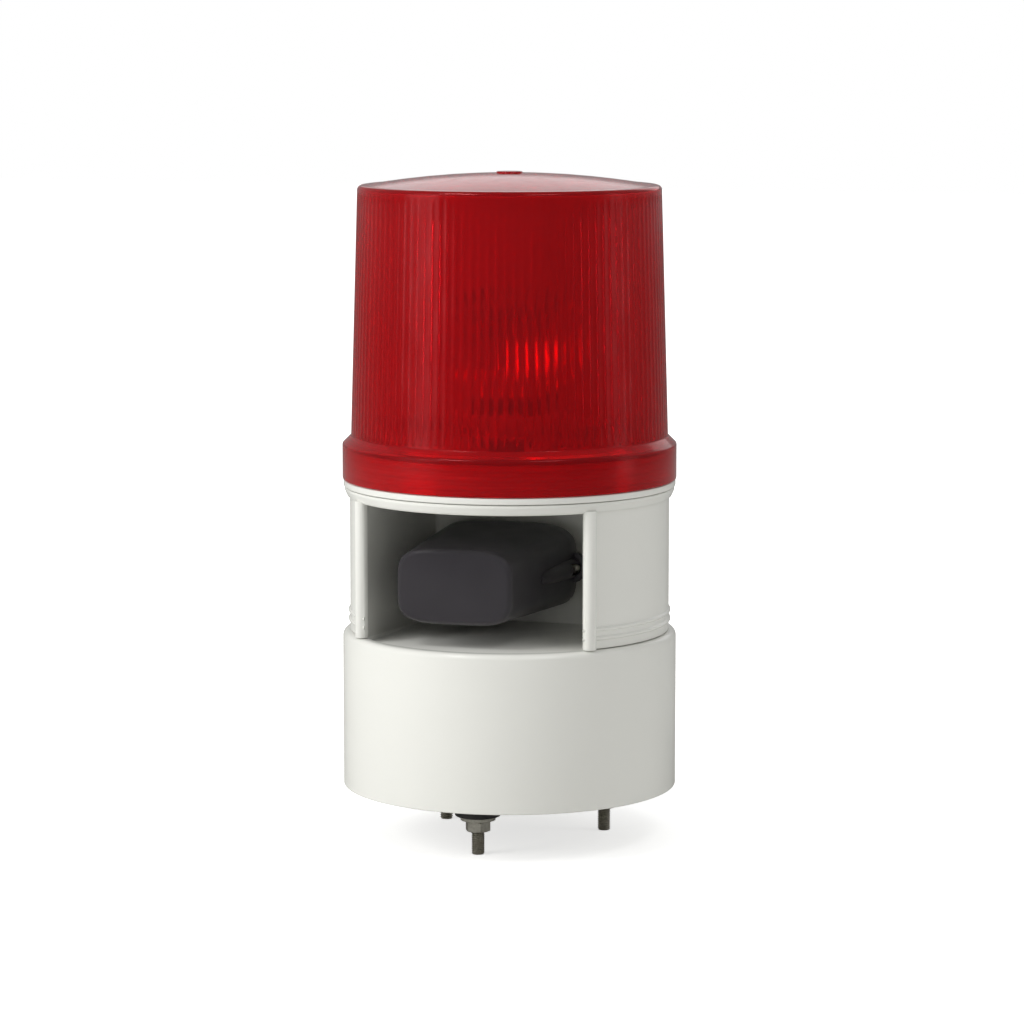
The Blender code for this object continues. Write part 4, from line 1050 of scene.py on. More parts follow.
def cross_screw(name: str, size: ScrewSize, length: float, place: Matrix) -> Solid:
    """A pan-head screw with a cross recess; its head's underside is at the origin.

    Args:
        name: the object's name.
        size: its head and its shank.
        length: length of the shank below the head.
        place: where it goes, in metres.

    Returns:
        The screw.
    """
    head_radius, head_height, radius = size.head_radius, size.head_height, size.radius
    profile = [
        (0.0, head_height),
        *rounded(
            [
                (0.0, head_height, 0.0),
                (0.62 * head_radius, head_height, 0.5 * head_radius),
                (head_radius, 0.42 * head_height, 0.4 * head_height),
                (head_radius, 0.0, 0.12 * head_height),
                (radius, 0.0, 0.0),
                (radius, -length + 0.5 * radius, 0.0),
                (0.6 * radius, -length, 0.0),
                (0.0, -length, 0.0),
            ],
            closed=False,
            steps=4,
        )[1:],
    ]
    screw = turned(name, profile, 28)
    arm, wide = 0.56 * head_radius, 0.17 * head_radius
    arms = []
    for i, (dx, dy) in enumerate(((arm, wide), (wide * 1.003, arm * 0.997))):
        rings = []
        for height, share in ((1.3 * head_height, 1.0), (0.30 * head_height, 0.45)):
            x = dx * (share if i == 0 else 1.0) * MM
            y = dy * (share if i == 1 else 1.0) * MM
            z = height * MM
            rings.append([Vector((x, y, z)), Vector((-x, y, z)), Vector((-x, -y, z)), Vector((x, -y, z))])
        arms.append(skinned(f"{name}_arm_{i}", rings))
    combined(screw, arms, Join.CUT)
    screw.data.transform(place)
    return screw


# ---- base ------------------------------------------------------------------------------


@dataclass
class BaseAssembly:
    """The white base cup, the plate under it, and the three M6 studs with their fixings."""

    repeat: Tree
    thread: Tree
    wall: float = 2.8
    shoulder: float = 3.7
    lip_width: float = 5.5
    lip_depth: float = 7.5
    rim_width: float = 4.0
    ledge_width: float = 11.5
    ledge_thickness: float = 3.0
    bolt_circle: float = 44.0
    bolt_radius: float = 3.0
    bolt_head: float = 4.0
    across_flats: float = 10.0
    corner_drop: float = 0.55
    screw_circle: float = 67.0
    screw_hole: float = 2.2
    grommet_hole: float = 8.0
    grommet_neck: float = 7.7
    grommet_bore: float = 5.0

    def build(self) -> None:
        """Builds every piece of the base."""
        self.cup()
        self.plate()
        self.studs()
        self.nuts()
        self.washers()
        self.grommet()

    def cup(self) -> None:
        """Turns the cup with its soft shoulder, lip, gasket seat and bottom ledge."""
        span = Span.of("base_cup")
        radius, top = span.radius, span.high.z
        plate_top = Span.of("base_plate").high.z + GAP
        inner, lip = radius - self.wall, radius - self.lip_width
        seat = top - self.lip_depth
        ledge = radius - self.ledge_width
        corners = [
            (lip, top, 0.5),
            (radius, top, self.shoulder),
            (radius, 0.0, 0.7),
            (radius - self.rim_width, 0.0, 0.7),
            (radius - self.rim_width, plate_top, 0.3),
            (ledge, plate_top, 0.3),
            (ledge, plate_top + self.ledge_thickness, 0.4),
            (inner, plate_top + self.ledge_thickness, 0.8),
            (inner, seat - 6.0, 0.8),
            (lip - 3.2, seat - 2.0, 0.4),
            (lip - 3.2, seat, 0.2),
            (lip, seat, 0.3),
        ]
        cup = turned("base_cup_moulding", rounded(corners), FINE)
        publish(cup, Body.BASE, WHITE_ABS, ["base_cup"])

    def plate(self) -> None:
        """Cuts the steel plate and sets its three screws."""
        span = Span.of("base_plate")
        loops = [ring_points(span.radius, FINE), ring_points(self.grommet_hole)]
        bolt_hole = self.bolt_radius + GAP
        loops += [ring_points(bolt_hole, 28, polar(self.bolt_circle, a)) for a in (-90, 30, 150)]
        loops += [ring_points(self.screw_hole, 24, polar(self.screw_circle, a)) for a in (-30, 90, 210)]
        disc = plate("base_plate_steel", loops, span.height, shift(0.0, 0.0, span.low.z), 0.35)
        publish(disc, Body.BASE, ZINC_STEEL, ["base_plate"])
        at = shift(*polar(self.screw_circle, -30), span.low.z - GAP) @ DOWN
        screw = cross_screw("plate_screws", LARGE_SCREW, 10.0, at)
        grown(screw, self.repeat, ZINC_STEEL, count=3)
        publish(screw, Body.BASE, ZINC_STEEL, numbered("plate_screw"))

    def studs(self) -> None:
        """Makes the three threaded studs with their hexagon heads inside the base."""
        span = Span.of("mounting_bolt_1")
        head_low = span.high.z - self.bolt_head
        rod = new_object("stud_rod", bpy.data.meshes.new("stud_rod"))
        length = (head_low + 1.0 - span.low.z) * MM
        grown(rod, self.thread, ZINC_STEEL, radius=self.bolt_radius * MM, length=length, sides=28)
        rod.data.transform(shift(0.0, 0.0, span.low.z))
        head = self.hexagon("stud_head", head_low, span.high.z)
        stud = merged("mounting_studs", [rod, head])
        stud.data.transform(shift(*polar(self.bolt_circle, -90), 0.0))
        grown(stud, self.repeat, ZINC_STEEL, count=3)
        publish(stud, Body.BASE, ZINC_STEEL, numbered("mounting_bolt"))

    def hexagon(self, name: str, low: float, high: float) -> Solid:
        """A hexagon with its corners turned off at both ends, on the Z axis.

        Args:
            name: the object's name.
            low: its underside.
            high: its top.

        Returns:
            The solid.
        """
        corner = self.across_flats / 2 / cos(pi / 6)
        prism = plate(name, [ring_points(corner, 6)], high - low, shift(0.0, 0.0, low))
        drop = self.corner_drop
        flat = self.across_flats / 2 * 0.95
        barrel = [
            (0.0, high + 0.01),
            (flat, high + 0.01),
            (corner + 0.1, high - drop),
            (corner + 0.1, low + drop),
            (flat, low - 0.01),
            (0.0, low - 0.01),
        ]
        return combined(prism, [turned(f"{name}_barrel", barrel, 72)], Join.KEEP)

    def nuts(self) -> None:
        """Makes the three nuts, chamfered and bored."""
        span = Span.of("hex_nut_1")
        nut = self.hexagon("hex_nuts", span.low.z, span.high.z)
        bore = self.bolt_radius + GAP
        mouth = bore + 0.7
        profile = [
            (0.0, span.high.z + 1.0),
            (mouth, span.high.z + 0.1),
            (bore, span.high.z - 0.6),
            (bore, span.low.z + 0.6),
            (mouth, span.low.z - 0.1),
            (0.0, span.low.z - 1.0),
        ]
        combined(nut, [turned("nut_bore", profile, 29)], Join.CUT)
        nut.data.transform(shift(*polar(self.bolt_circle, -90), 0.0))
        grown(nut, self.repeat, ZINC_STEEL, count=3)
        publish(nut, Body.BASE, ZINC_STEEL, numbered("hex_nut"), 25.0)

    def washers(self) -> None:
        """Makes the flat washers and the rubber ones above them."""
        at = shift(*polar(self.bolt_circle, -90), 0.0)
        bore = self.bolt_radius + GAP
        for name, edge, finish, slot in (
            ("flat_washer", 0.25, ZINC_STEEL, Slot.ZINC),
            ("rubber_washer", 0.9, BLACK_RUBBER, Slot.RUBBER),
        ):
            span = Span.of(f"{name}_1")
            corners = span.band(bore, edge)
            if finish is BLACK_RUBBER:
                waist = (span.radius - 0.5, span.z, 2.0)
                corners.insert(2, waist)
            washer = turned(f"{name}s", rounded(corners), 64, at)
            grown(washer, self.repeat, finish, count=3)
            publish(washer, Body.BASE, finish, numbered(name))

    def grommet(self) -> None:
        """Turns the rubber grommet in the plate's middle."""
        span, sheet = Span.of("cable_grommet"), Span.of("base_plate")
        neck, bore = self.grommet_neck, self.grommet_bore
        corners = [
            (bore, span.high.z, 0.8),
            (span.radius, span.high.z, 0.9),
            (span.radius, sheet.high.z + GAP, 0.3),
            (neck, sheet.high.z + GAP, 0.2),
            (neck, sheet.low.z - GAP, 0.2),
            (span.radius, sheet.low.z - GAP, 0.3),
            (span.radius, span.low.z, 0.9),
            (bore, span.low.z, 0.8),
        ]
        grommet = turned("cable_grommet_rubber", rounded(corners), 72)
        publish(grommet, Body.BASE, BLACK_RUBBER, ["cable_grommet"])


# ---- siren housing ---------------------------------------------------------------------


@dataclass
class SirenHousing:
    """The drum with its window, posts, beads and collar, and the chamber inside it."""

    repeat: Tree
    drum_radius: float = 71.7
    drum_wall: float = 2.6
    collar_height: float = 4.2
    window_angle: float = 45.0
    chamber_wall: float = 2.5
    back_half_width: float = 45.6
    back_y: float = 30.0
    post_radius: float = 3.0
    floor_top: float = 68.7
    floor_under: float = 65.7
    spigot: float = 69.2
    bead_heights: tuple[float, float] = (75.5, 79.5)
    bead_rise: float = 0.8
    collar_flare: float = 2.3
    boss_circle: float = 60.0
    board_bosses: tuple[Point, ...] = ((-38.0, -26.0), (38.0, -26.0), (0.0, 30.0))
    board_boss_radius: float = 3.6
    board_drop: float = 16.0
    gasket_width: float = 2.6
    front: float = -90.0  # a depth well before the drum, where the chamber's cutter ends
    lug_back: float = 20.3  # where the bosses meet the siren's lugs, with the gap between them
    bore_end: float = 1.7  # mm of the bosses' root that stay closed behind their holes

    def build(self) -> None:
        """Builds the housing, its gasket and its screws."""
        housing = self.drum()
        self.open_chamber(housing)
        self.add_posts(housing)
        self.add_bosses(housing)
        softened(housing, 0.35, 2, 40.0)
        publish(housing, Body.BASE, WHITE_ABS, ["siren_housing"], 40.0)
        self.fixings()

    def outline(self, offset: float) -> list[Point]:
        """Plan of the chamber, open to the front, grown outward by an offset."""
        side = self.drum_radius * sin(radians(self.window_angle)) + offset
        mouth = -self.drum_radius * cos(radians(self.window_angle))
        back = self.back_half_width + offset
        corner = (back, self.back_y + offset, 2.0 + offset)
        half = [(side, self.front, 0.0), (side, mouth, 0.0), corner]
        return rounded(half + [(-x, y, f) for x, y, f in reversed(half)], steps=6)

    def drum(self) -> Solid:
        """Turns the solid drum with its two beads and the flared collar."""
        top = Span.of("siren_housing").high.z
        drum_top, foot = top - self.collar_height, Span.of("base_cup").high.z + GAP
        radius = self.drum_radius
        corners = [
            (0.0, top, 0.0),
            (radius + self.collar_flare, top, 0.5),
            (radius + self.collar_flare, top - 0.3 * self.collar_height, 0.8),
            (radius + 1.0, drum_top, 0.45),
            (radius, drum_top, 0.35),
        ]
        for height in reversed(self.bead_heights):
            corners += [
                (radius, height + 1.0, 0.3),
                (radius + self.bead_rise, height + 0.35, 0.4),
                (radius + self.bead_rise, height - 0.35, 0.4),
                (radius, height - 1.0, 0.3),
            ]
        corners += [
            (radius, foot, 0.5),
            (self.spigot, foot, 0.2),
            (self.spigot, self.floor_under, 0.4),
            (0.0, self.floor_under, 0.0),
        ]
        return turned("siren_housing_moulding", rounded(corners, closed=False), FINE)

    def open_chamber(self, housing: Solid) -> None:
        """Cuts the chamber through the front, and the hollow round it."""
        top = Span.of("siren_housing").high.z
        drum_top, foot = top - self.collar_height, Span.of("base_cup").high.z + GAP
        height = drum_top - 0.5 - self.floor_top
        chamber = plate("chamber", [self.outline(0.0)], height, shift(0.0, 0.0, self.floor_top))
        bore, inner = self.drum_radius - self.drum_wall, self.spigot - self.drum_wall
        hollow_profile = [
            (0.0, top - 2.5),
            (bore, top - 2.5),
            (bore, foot + self.drum_wall),
            (inner, foot),
            (inner, self.floor_top),
            (0.0, self.floor_top),
        ]
        hollow = turned("hollow", hollow_profile, FINE)
        low = shift(0.0, 0.0, self.floor_top - height / 2)
        walls = plate("walls", [self.outline(self.chamber_wall)], 2 * height, low)
        combined(hollow, [walls], Join.CUT)
        wire = bar("wire", WIRE_HOLE_RADIUS, 50.0, 100.0, shift(*WIRE_HOLE, 0.0), 37)
        combined(housing, [chamber, hollow, wire], Join.CUT)

    def add_posts(self, housing: Solid) -> None:
        """Adds the half-round posts that frame the window."""
        top = Span.of("siren_housing").high.z
        low, high = Span.of("base_cup").high.z + 0.4, top - self.collar_height + 0.5
        angle = radians(self.window_angle) + (self.post_radius + 0.1) / self.drum_radius
        posts = []
        for side in (-1, 1):
            at = shift(side * self.drum_radius * sin(angle), -self.drum_radius * cos(angle), 0.0)
            posts.append(bar(f"post_{side}", self.post_radius, low, high, at, 49))
        combined(housing, posts, Join.ADD)

    def add_bosses(self, housing: Solid) -> None:
        """Adds the bosses for the siren, the board and the screws, and bores them."""
        adds, cuts = [], []
        for side, name in ((-1, "left"), (1, "right")):
            screw = Span.of(f"siren_screw_{name}")
            at = shift(screw.x, self.back_y + 2.0, screw.z) @ FRONT
            depth = self.back_y + 2.0 - self.lug_back
            adds.append(turned(f"boss_{side}", [(0.0, depth), (4.2, depth), (4.0, 0.0), (0.0, 0.0)], 37, at))
            cuts.append(bar(f"bore_{side}", SCREW_HOLE, self.bore_end, depth + 2.0, at))
        for i, (x, y) in enumerate(self.board_bosses):
            at = shift(x, y, 0.0)
            low, high = self.floor_under - self.board_drop, self.floor_under + 1.0
            adds.append(bar(f"board_boss_{i}", self.board_boss_radius, low, high, at, 32))
            cuts.append(bar(f"board_bore_{i}", SCREW_HOLE, low - 2.0, low + 12.0, at))
        combined(housing, adds, Join.ADD)
        combined(housing, cuts, Join.CUT)

    def fixings(self) -> None:
        """Makes the gasket under the housing and the screws that hold it to the base."""
        span = Span.of("base_gasket")
        corners = span.band(span.radius - self.gasket_width, 0.4)
        gasket = turned("base_gasket_rubber", rounded(corners, steps=3), FINE)
        publish(gasket, Body.BASE, BLACK_RUBBER, ["base_gasket"])
        head_top = Span.of("housing_screw_1").low.z + LARGE_SCREW.head_height
        at = shift(*polar(self.boss_circle, -90), head_top) @ DOWN
        screw = cross_screw("housing_screws", LARGE_SCREW, 13.0, at)
        grown(screw, self.repeat, ZINC_STEEL, count=3)
        publish(screw, Body.BASE, ZINC_STEEL, numbered("housing_screw"))


# ---- siren -----------------------------------------------------------------------------


@dataclass
class SirenUnit:
    """The black hood with its lugs, and the driver that it covers."""

    x: float = -7.4
    nose_y: float = -54.0
    rear_y: float = 20.0
    nose_half: Point = (26.7, 16.7)
    rear_half: Point = (33.2, 19.6)
    nose_z: float = 96.2
    rear_z: float = 96.7
    dome: float = 3.2
    edge: float = 2.6
    wall: float = 2.4
    squareness: float = 4.2
    lug_reach: float = 33.0
    seat_radius: float = 3.15
    slots: int = 4
    slot_spacing: float = 8.8
    fin_length: float = 40.0
    throat: float = 14.0
    points: int = 96

    def build(self) -> None:
        """Builds the hood and the driver."""
        self.hood()
        self.driver()
        self.screws()

    def section(
        self, half_width: float, half_height: float, y: float, z: float, square: float
    ) -> list[Vector]:
        """A ring across Y between an ellipse and a rectangle in shape.

        Args:
            half_width: half its width.
            half_height: half its height.
            y: its place along Y.
            z: the height of its middle.
            square: 2 for an ellipse; the more, the squarer.

        Returns:
            Its points, in metres.
        """
        power = 2.0 / square
        found = []
        for i in range(self.points):
            c, s = cos(2 * pi * i / self.points), sin(2 * pi * i / self.points)
            across = half_width * abs(c) ** power * (1 if c >= 0 else -1)
            up = half_height * abs(s) ** power * (1 if s >= 0 else -1)
            found.append(Vector(((self.x + across) * MM, y * MM, (z + up) * MM)))
        return found

    def side(self, share: float, inset: float) -> list[Vector]:
        """The ring at a share of the way from the nose to the rear."""
        half = [a + (b - a) * share - inset for a, b in zip(self.nose_half, self.rear_half)]
        y = self.nose_y + (self.rear_y - self.nose_y) * share
        z = self.nose_z + (self.rear_z - self.nose_z) * share
        return self.section(half[0], half[1], y, z, self.squareness)

    def nose(self, inset: float) -> list[list[Vector]]:
        """Rings of the domed face and of its rounded edge, from the middle out."""
        wide, high = (v - inset for v in self.nose_half)
        tip = self.nose_y - self.dome + inset
        edge = max(self.edge - inset * 0.6, 0.8)
        rings = [[Vector((self.x * MM, tip * MM, self.nose_z * MM))]]
        for step in (0.1, 0.25, 0.4, 0.55, 0.7, 0.82, 0.9):
            w, h = (wide - edge) * step, (high - edge) * step
            y = tip + 0.5 * self.dome * step**2
            rings.append(self.section(w, h, y, self.nose_z, self.squareness - 0.6))
        face = tip + 0.5 * self.dome
        for k in range(7):
            angle = pi / 2 * k / 6
            grow = edge * sin(angle)
            y = face + edge * (1 - cos(angle))
            w, h = wide - edge + grow, high - edge + grow
            rings.append(self.section(w, h, y, self.nose_z, self.squareness))
        return rings

    def hood(self) -> None:
        """Skins the hood as a shell, then adds lugs and fins and cuts holes and slots."""
        shares = (0.06, 0.12, 0.2, 0.35, 0.5, 0.65, 0.8, 0.9, 0.985)
        outer = self.nose(0.0) + [self.side(s, 0.0) for s in shares]
        rim = [self.side(1.0, 0.35), self.side(1.0, self.wall)]
        inner = [self.side(s, self.wall) for s in reversed(shares[:-1])] + self.nose(self.wall)[::-1]
        hood = skinned("siren_hood_moulding", outer + rim + inner)
        adds, cuts = [], []
        for side, name in ((-1, "left"), (1, "right")):
            adds += self.lug(side, name)
            screw = Span.of(f"siren_screw_{name}")
            behind, seat = shift(screw.x, 21.0, screw.z) @ FRONT, shift(screw.x, 16.2, screw.z) @ FRONT
            cuts.append(bar(f"lug_bore_{name}", SCREW_HOLE, 0.0, 15.0, behind))
            cuts.append(bar(f"lug_seat_{name}", self.seat_radius, 0.0, 9.0, seat, 37))
        for i in range(self.slots):
            x = self.x + (i - (self.slots - 1) / 2) * self.slot_spacing
            loop = box_outline(x - 2.0, -16.0, x + 2.0, 16.0, 1.9)
            cuts.append(plate(f"slot_{i}", [loop], 27.5, shift(0.0, -23.0, 68.7)))
        combined(hood, adds, Join.ADD)
        combined(hood, cuts, Join.CUT)
        publish(hood, Body.BASE, BLACK_ABS, ["siren_hood"], 38.0)

    def lug(self, side: int, name: str) -> list[Solid]:
        """A lug beside the hood's rear, and the fin that runs forward from it."""
        x, inward = self.x + side * self.lug_reach, -side * 3.0
        loop = box_outline(-4.2 + min(inward, 0.0), -6.6, 4.2 + max(inward, 0.0), 6.6, 4.1)
        made = plate(f"lug_{name}", [loop], 4.0, shift(x, 19.8, self.rear_z) @ FRONT, 0.5)
        rings = []
        thinning = ((0.0, 4.6, 4.8), (0.35, 4.3, 4.3), (0.7, 3.6, 3.5), (0.93, 2.8, 2.8), (1.0, 1.4, 1.6))
        turns = [2 * pi * i / 32 for i in range(32)]
        for share, wide, high in thinning:
            fin_x = x - side * (1.2 + 3.0 * share)
            y = 18.0 - self.fin_length * share
            oval = [(fin_x + wide * cos(a), self.rear_z + high * sin(a)) for a in turns]
            rings.append([Vector((across * MM, y * MM, up * MM)) for across, up in oval])
        return [made, skinned(f"fin_{name}", rings)]

    def driver(self) -> None:
        """Builds the driver's frame, its diaphragm and its magnet."""
        span = Span.of("driver_frame")
        half_x, half_z, z = span.radius, span.height / 2, span.z
        ring = self.section(half_x, half_z, 0.0, 0.0, self.squareness)
        loops = [[(p.x / MM - self.x, p.z / MM) for p in ring], ring_points(self.throat + GAP, 72)]
        at = shift(self.x, span.high.y, z) @ FRONT
        body = plate("driver_frame_moulding", loops, span.high.y - span.low.y, at, 0.4)
        publish(body, Body.BASE, BLACK_ABS, ["driver_frame"])
        span = Span.of("driver_diaphragm")
        rise = span.high.y - span.low.y
        turns = [pi / 2 * i / 10 for i in range(11)]
        dome = [(self.throat * sin(a), 1.0 + (rise - 1.0) * cos(a)) for a in turns]
        profile = [*dome[:8], (13.2, 1.5), (13.6, 1.7), (14.0, 1.0), (14.0, 0.0), (0.0, 0.0)]
        cone = turned("driver_diaphragm_paper", profile, 72, shift(self.x, span.high.y, z) @ FRONT)
        publish(cone, Body.BASE, PAPER, ["driver_diaphragm"])
        span = Span.of("driver_magnet")
        length = span.high.y - span.low.y
        corners = [
            (0.0, length, 0.0),
            (15.0, length, 0.5),
            (15.0, length - 2.2, 0.2),
            (14.0, length - 2.4, 0.2),
            (14.0, 2.4, 0.2),
            (15.0, 2.2, 0.2),
            (15.0, 0.0, 0.5),
            (0.0, 0.0, 0.0),
        ]
        at = shift(self.x, span.high.y, z) @ FRONT
        magnet = turned("driver_magnet_ferrite", rounded(corners, closed=False), 72, at)
        publish(magnet, Body.BASE, FERRITE, ["driver_magnet"])

    def screws(self) -> None:
        """Sets the two screws that hold the hood's lugs."""
        pair = []
        for name, turn in (("left", 0.3), ("right", 0.9)):
            span = Span.of(f"siren_screw_{name}")
            head_y = span.low.y + MIDDLE_SCREW.head_height
            at = shift(span.x, head_y, span.z) @ FRONT @ Matrix.Rotation(turn, 4, "Z")
            pair.append(cross_screw(f"lug_screw_{name}", MIDDLE_SCREW, 11.0, at))
        screws = merged("siren_screws", pair)
        publish(screws, Body.BASE, ZINC_STEEL, ["siren_screw_left", "siren_screw_right"])


# ---- lamp base and lens ----------------------------------------------------------------


@dataclass
class LampBase:
    """The deck over the drum, its rim, and the lens's spigot, whose thread is level rings."""

    repeat: Tree
    rim_radius: float = 74.5
    rim_height: float = 2.9
    deck: float = 2.5
    spigot: float = 71.0
    spigot_wall: float = 2.8
    spigot_height: float = 14.0
    pitch: float = 4.0
    depth: float = 0.9
    thread_turns: int = 3
    boss_height: float = 20.0
    screw_circle: float = 58.0

    def build(self) -> None:
        """Builds the lamp base and its screws."""
        under = Span.of("lamp_base").low.z
        deck, rim = under + self.deck, under + self.rim_height
        top, inner = deck + self.spigot_height, self.spigot - self.spigot_wall
        corners = [
            (0.0, deck, 0.0),
            (inner, deck, 1.2),
            (inner, top, 0.5),
            (self.spigot, top, 0.5),
        ]
        for turn in range(self.thread_turns):
            z = top - (turn + 0.5) * self.pitch
            corners += [
                (self.spigot, z + 0.3 * self.pitch, 0.2),
                (self.spigot + self.depth, z, 0.3),
                (self.spigot, z - 0.3 * self.pitch, 0.2),
            ]
        corners += [
            (self.spigot, rim, 0.3),
            (self.rim_radius, rim, 0.6),
            (self.rim_radius, under, 0.6),
            (0.0, under, 0.0),
        ]
        made = turned("lamp_base_moulding", rounded(corners, closed=False), FINE)
        adds, cuts = [], []
        for i, (x, y) in enumerate(MECHANISM_BOSSES):
            at, high = shift(x, y, 0.0), deck + self.boss_height
            profile = [(0.0, high), (3.4, high), (3.6, high - 0.2), (3.9, deck - 1.0), (0.0, deck - 1.0)]
            adds.append(turned(f"lamp_boss_{i}", profile, 32, at))
            cuts.append(bar(f"lamp_bore_{i}", SCREW_HOLE, high - 10.0, high + 1.0, at))
        cuts.append(bar("deck_wire", WIRE_HOLE_RADIUS, 130.0, 150.0, shift(*WIRE_HOLE, 0.0), 37))
        combined(made, adds, Join.ADD)
        combined(made, cuts, Join.CUT)
        publish(made, Body.BASE, WHITE_ABS, ["lamp_base"])
        at = shift(*polar(self.screw_circle, -90), deck + GAP)
        screw = cross_screw("deck_screws", LARGE_SCREW, 6.0, at)
        grown(screw, self.repeat, ZINC_STEEL, count=3)
        publish(screw, Body.BASE, ZINC_STEEL, numbered("deck_screw"))


@dataclass
class Lens:
    """The red screw-on lens, fluted inside and faintly outside, and the gasket under it."""

    repeat: Tree
    flange: float = 74.9
    flange_height: float = 15.7
    chamfer: float = 3.8
    barrel: float = 71.0
    top: float = 67.8
    rise: float = 5.6
    corner: float = 2.6
    wall: float = 2.4
    boss: float = 5.8
    boss_height: float = 0.7
    flutes: int = 114
    flute_depth: float = 0.55
    outer_depth: float = 0.16
    flute_steps: int = 6
    run_out: float = 3.0
    outer_climb: float = 106.0  # height of the fluted wall outside
    inner_climb: float = 110.0  # and inside
    inner_flange: float = 72.32
    shelf: float = 154.7
    gasket_width: float = 2.8
    heights: dict[str, float] = field(default_factory=dict)

    def build(self) -> None:
        """Builds one flute's sector of the lens and repeats it round the axis."""
        span = Span.of("lens")
        apex = span.high.z - self.boss_height
        self.heights = {
            "foot": span.low.z,
            "shoulder": span.low.z + self.flange_height,
            "barrel": span.low.z + self.flange_height + self.chamfer,
            "corner": apex - self.rise,
            "apex": apex,
        }
        lens = self.sector()
        grown(lens, self.repeat, RED_POLYCARBONATE, count=self.flutes)
        shape = bmesh.new()
        shape.from_mesh(lens.data)
        bmesh.ops.recalc_face_normals(shape, faces=shape.faces)
        shape.to_mesh(lens.data)
        shape.free()
        publish(lens, Body.LENS, RED_POLYCARBONATE, ["lens"], 38.0)
        self.gasket()

    def crown(self, radius: float, drop: float = 0.0) -> Point:
        """A point of the crown at a radius, lowered by a wall for the inner side."""
        reach = self.top - self.corner
        sphere = (reach**2 + self.rise**2) / (2 * self.rise)
        return (radius, self.heights["apex"] - drop - sphere + (sphere**2 - radius**2) ** 0.5)

    def outside(self) -> list[Point]:
        """The outer line, from the boss on the crown down to the foot."""
        high = self.heights
        boss = rounded(
            [
                (0.0, high["apex"] + self.boss_height, 0.0),
                (self.boss, high["apex"] + self.boss_height, 0.45),
                (self.boss, high["apex"] - 0.05, 0.35),
                (self.boss + 1.5, high["apex"] - 0.08, 0.0),
            ],
            closed=False,
        )
        crown = [self.crown(r) for r in (12.0, 20.0, 30.0, 40.0, 50.0, 58.0, 63.0)]
        start, rise = 0.3 * self.run_out / self.outer_climb, self.run_out / self.outer_climb
        shares = (0.0, start, rise, 0.25, 0.5, 0.75, 0.94, 0.97, 0.985)
        foot = high["barrel"] + 0.8
        climb = [
            (
                self.barrel + (self.top - self.barrel) * share,
                foot + (high["corner"] - self.corner - high["barrel"] - 0.8) * share,
                0.0,
            )
            for share in reversed(shares)
        ]
        rest = rounded(
            [
                (63.5, self.crown(63.5)[1], 0.0),
                (self.top, high["corner"] + 0.3, self.corner),
                *climb,
                (self.barrel, high["barrel"], 1.2),
                (self.flange, high["shoulder"], 1.2),
                (self.flange, high["foot"], 0.6),
                (self.inner_flange, high["foot"], 0.4),
                (self.inner_flange, self.shelf, 0.0),
            ],
            closed=False,
            steps=6,
        )
        return boss + crown + rest

    def inside(self) -> list[Point]:
        """The inner line without flutes, from the shelf up to the axis."""
        high = self.heights
        inner = self.barrel - self.wall
        foot = [(inner, self.shelf), (inner, high["barrel"] - 0.6)]
        top = (self.top - self.wall, high["corner"] - self.corner)
        start, rise = 0.5 * self.run_out / self.inner_climb, self.run_out / self.inner_climb
        climb = []
        for share in (0.0, start, rise, 0.1, 0.3, 0.5, 0.7, 0.9, 0.975, 1.0):
            radius = inner + (top[0] - inner) * share
            climb.append((radius, high["barrel"] + (top[1] - high["barrel"]) * share))
        corner = rounded(
            [
                (*top, 0.0),
                (top[0], high["corner"] - self.wall + 0.6, 1.8),
                (62.0, self.crown(62.0, self.wall)[1], 0.0),
            ],
            closed=False,
        )[1:-1]
        crown = [self.crown(r, self.wall) for r in (60.0, 50.0, 40.0, 30.0, 20.0, 10.0, 0.0)]
        return foot + climb + corner + crown

    def flute(self, share: float, radius: float, height: float, depth: float) -> float:
        """How far a flute stands in from the plain wall.

        Args:
            share: the place across the flute, from 0 to 1.
            radius: the plain wall's radius there.
            height: the height.
            depth: the flute's full depth.

        Returns:
            The depth there, which fades out at the flute's two ends.
        """
        high = self.heights
        if radius < self.top - self.wall - 0.4 or height < high["barrel"]:
            return 0.0
        ends = min(height - high["barrel"], high["corner"] - self.corner - height)
        fade = max(0.0, min(1.0, ends / self.run_out))
        return depth * sin(pi * share) * fade

    def sector(self) -> Solid:
        """One flute's share of the whole section, open at its two sides."""
        outside = self.outside()
        line = outside + self.inside()
        shape = bmesh.new()
        columns = []
        for step in range(self.flute_steps + 1):
            share = step / self.flute_steps
            angle = 2 * pi * share / self.flutes
            column = []
            for i, (radius, height) in enumerate(line):
                if radius < ON_AXIS and columns:
                    column.append(columns[0][i])
                    continue
                depth = self.flute_depth if i >= len(outside) else self.outer_depth
                reach = radius - self.flute(share, radius, height, depth)
                point = (reach * cos(angle) * MM, reach * sin(angle) * MM, height * MM)
                column.append(shape.verts.new(point))
            columns.append(column)
        for left, right in zip(columns, columns[1:]):
            for i in range(len(line) - 1):
                shape.faces.new(list(dict.fromkeys((left[i], right[i], right[i + 1], left[i + 1]))))
        mesh = bpy.data.meshes.new("lens_moulding")
        shape.to_mesh(mesh)
        shape.free()
        return new_object("lens_moulding", mesh)

    def gasket(self) -> None:
        """Turns the gasket between the spigot and the lens."""
        span = Span.of("lens_gasket")
        corners = span.band(span.radius - self.gasket_width, 0.5)
        gasket = turned("lens_gasket_rubber", rounded(corners, steps=3), FINE)
        publish(gasket, Body.GASKET, BLACK_RUBBER, ["lens_gasket"])


# ---- beacon ----------------------------------------------------------------------------


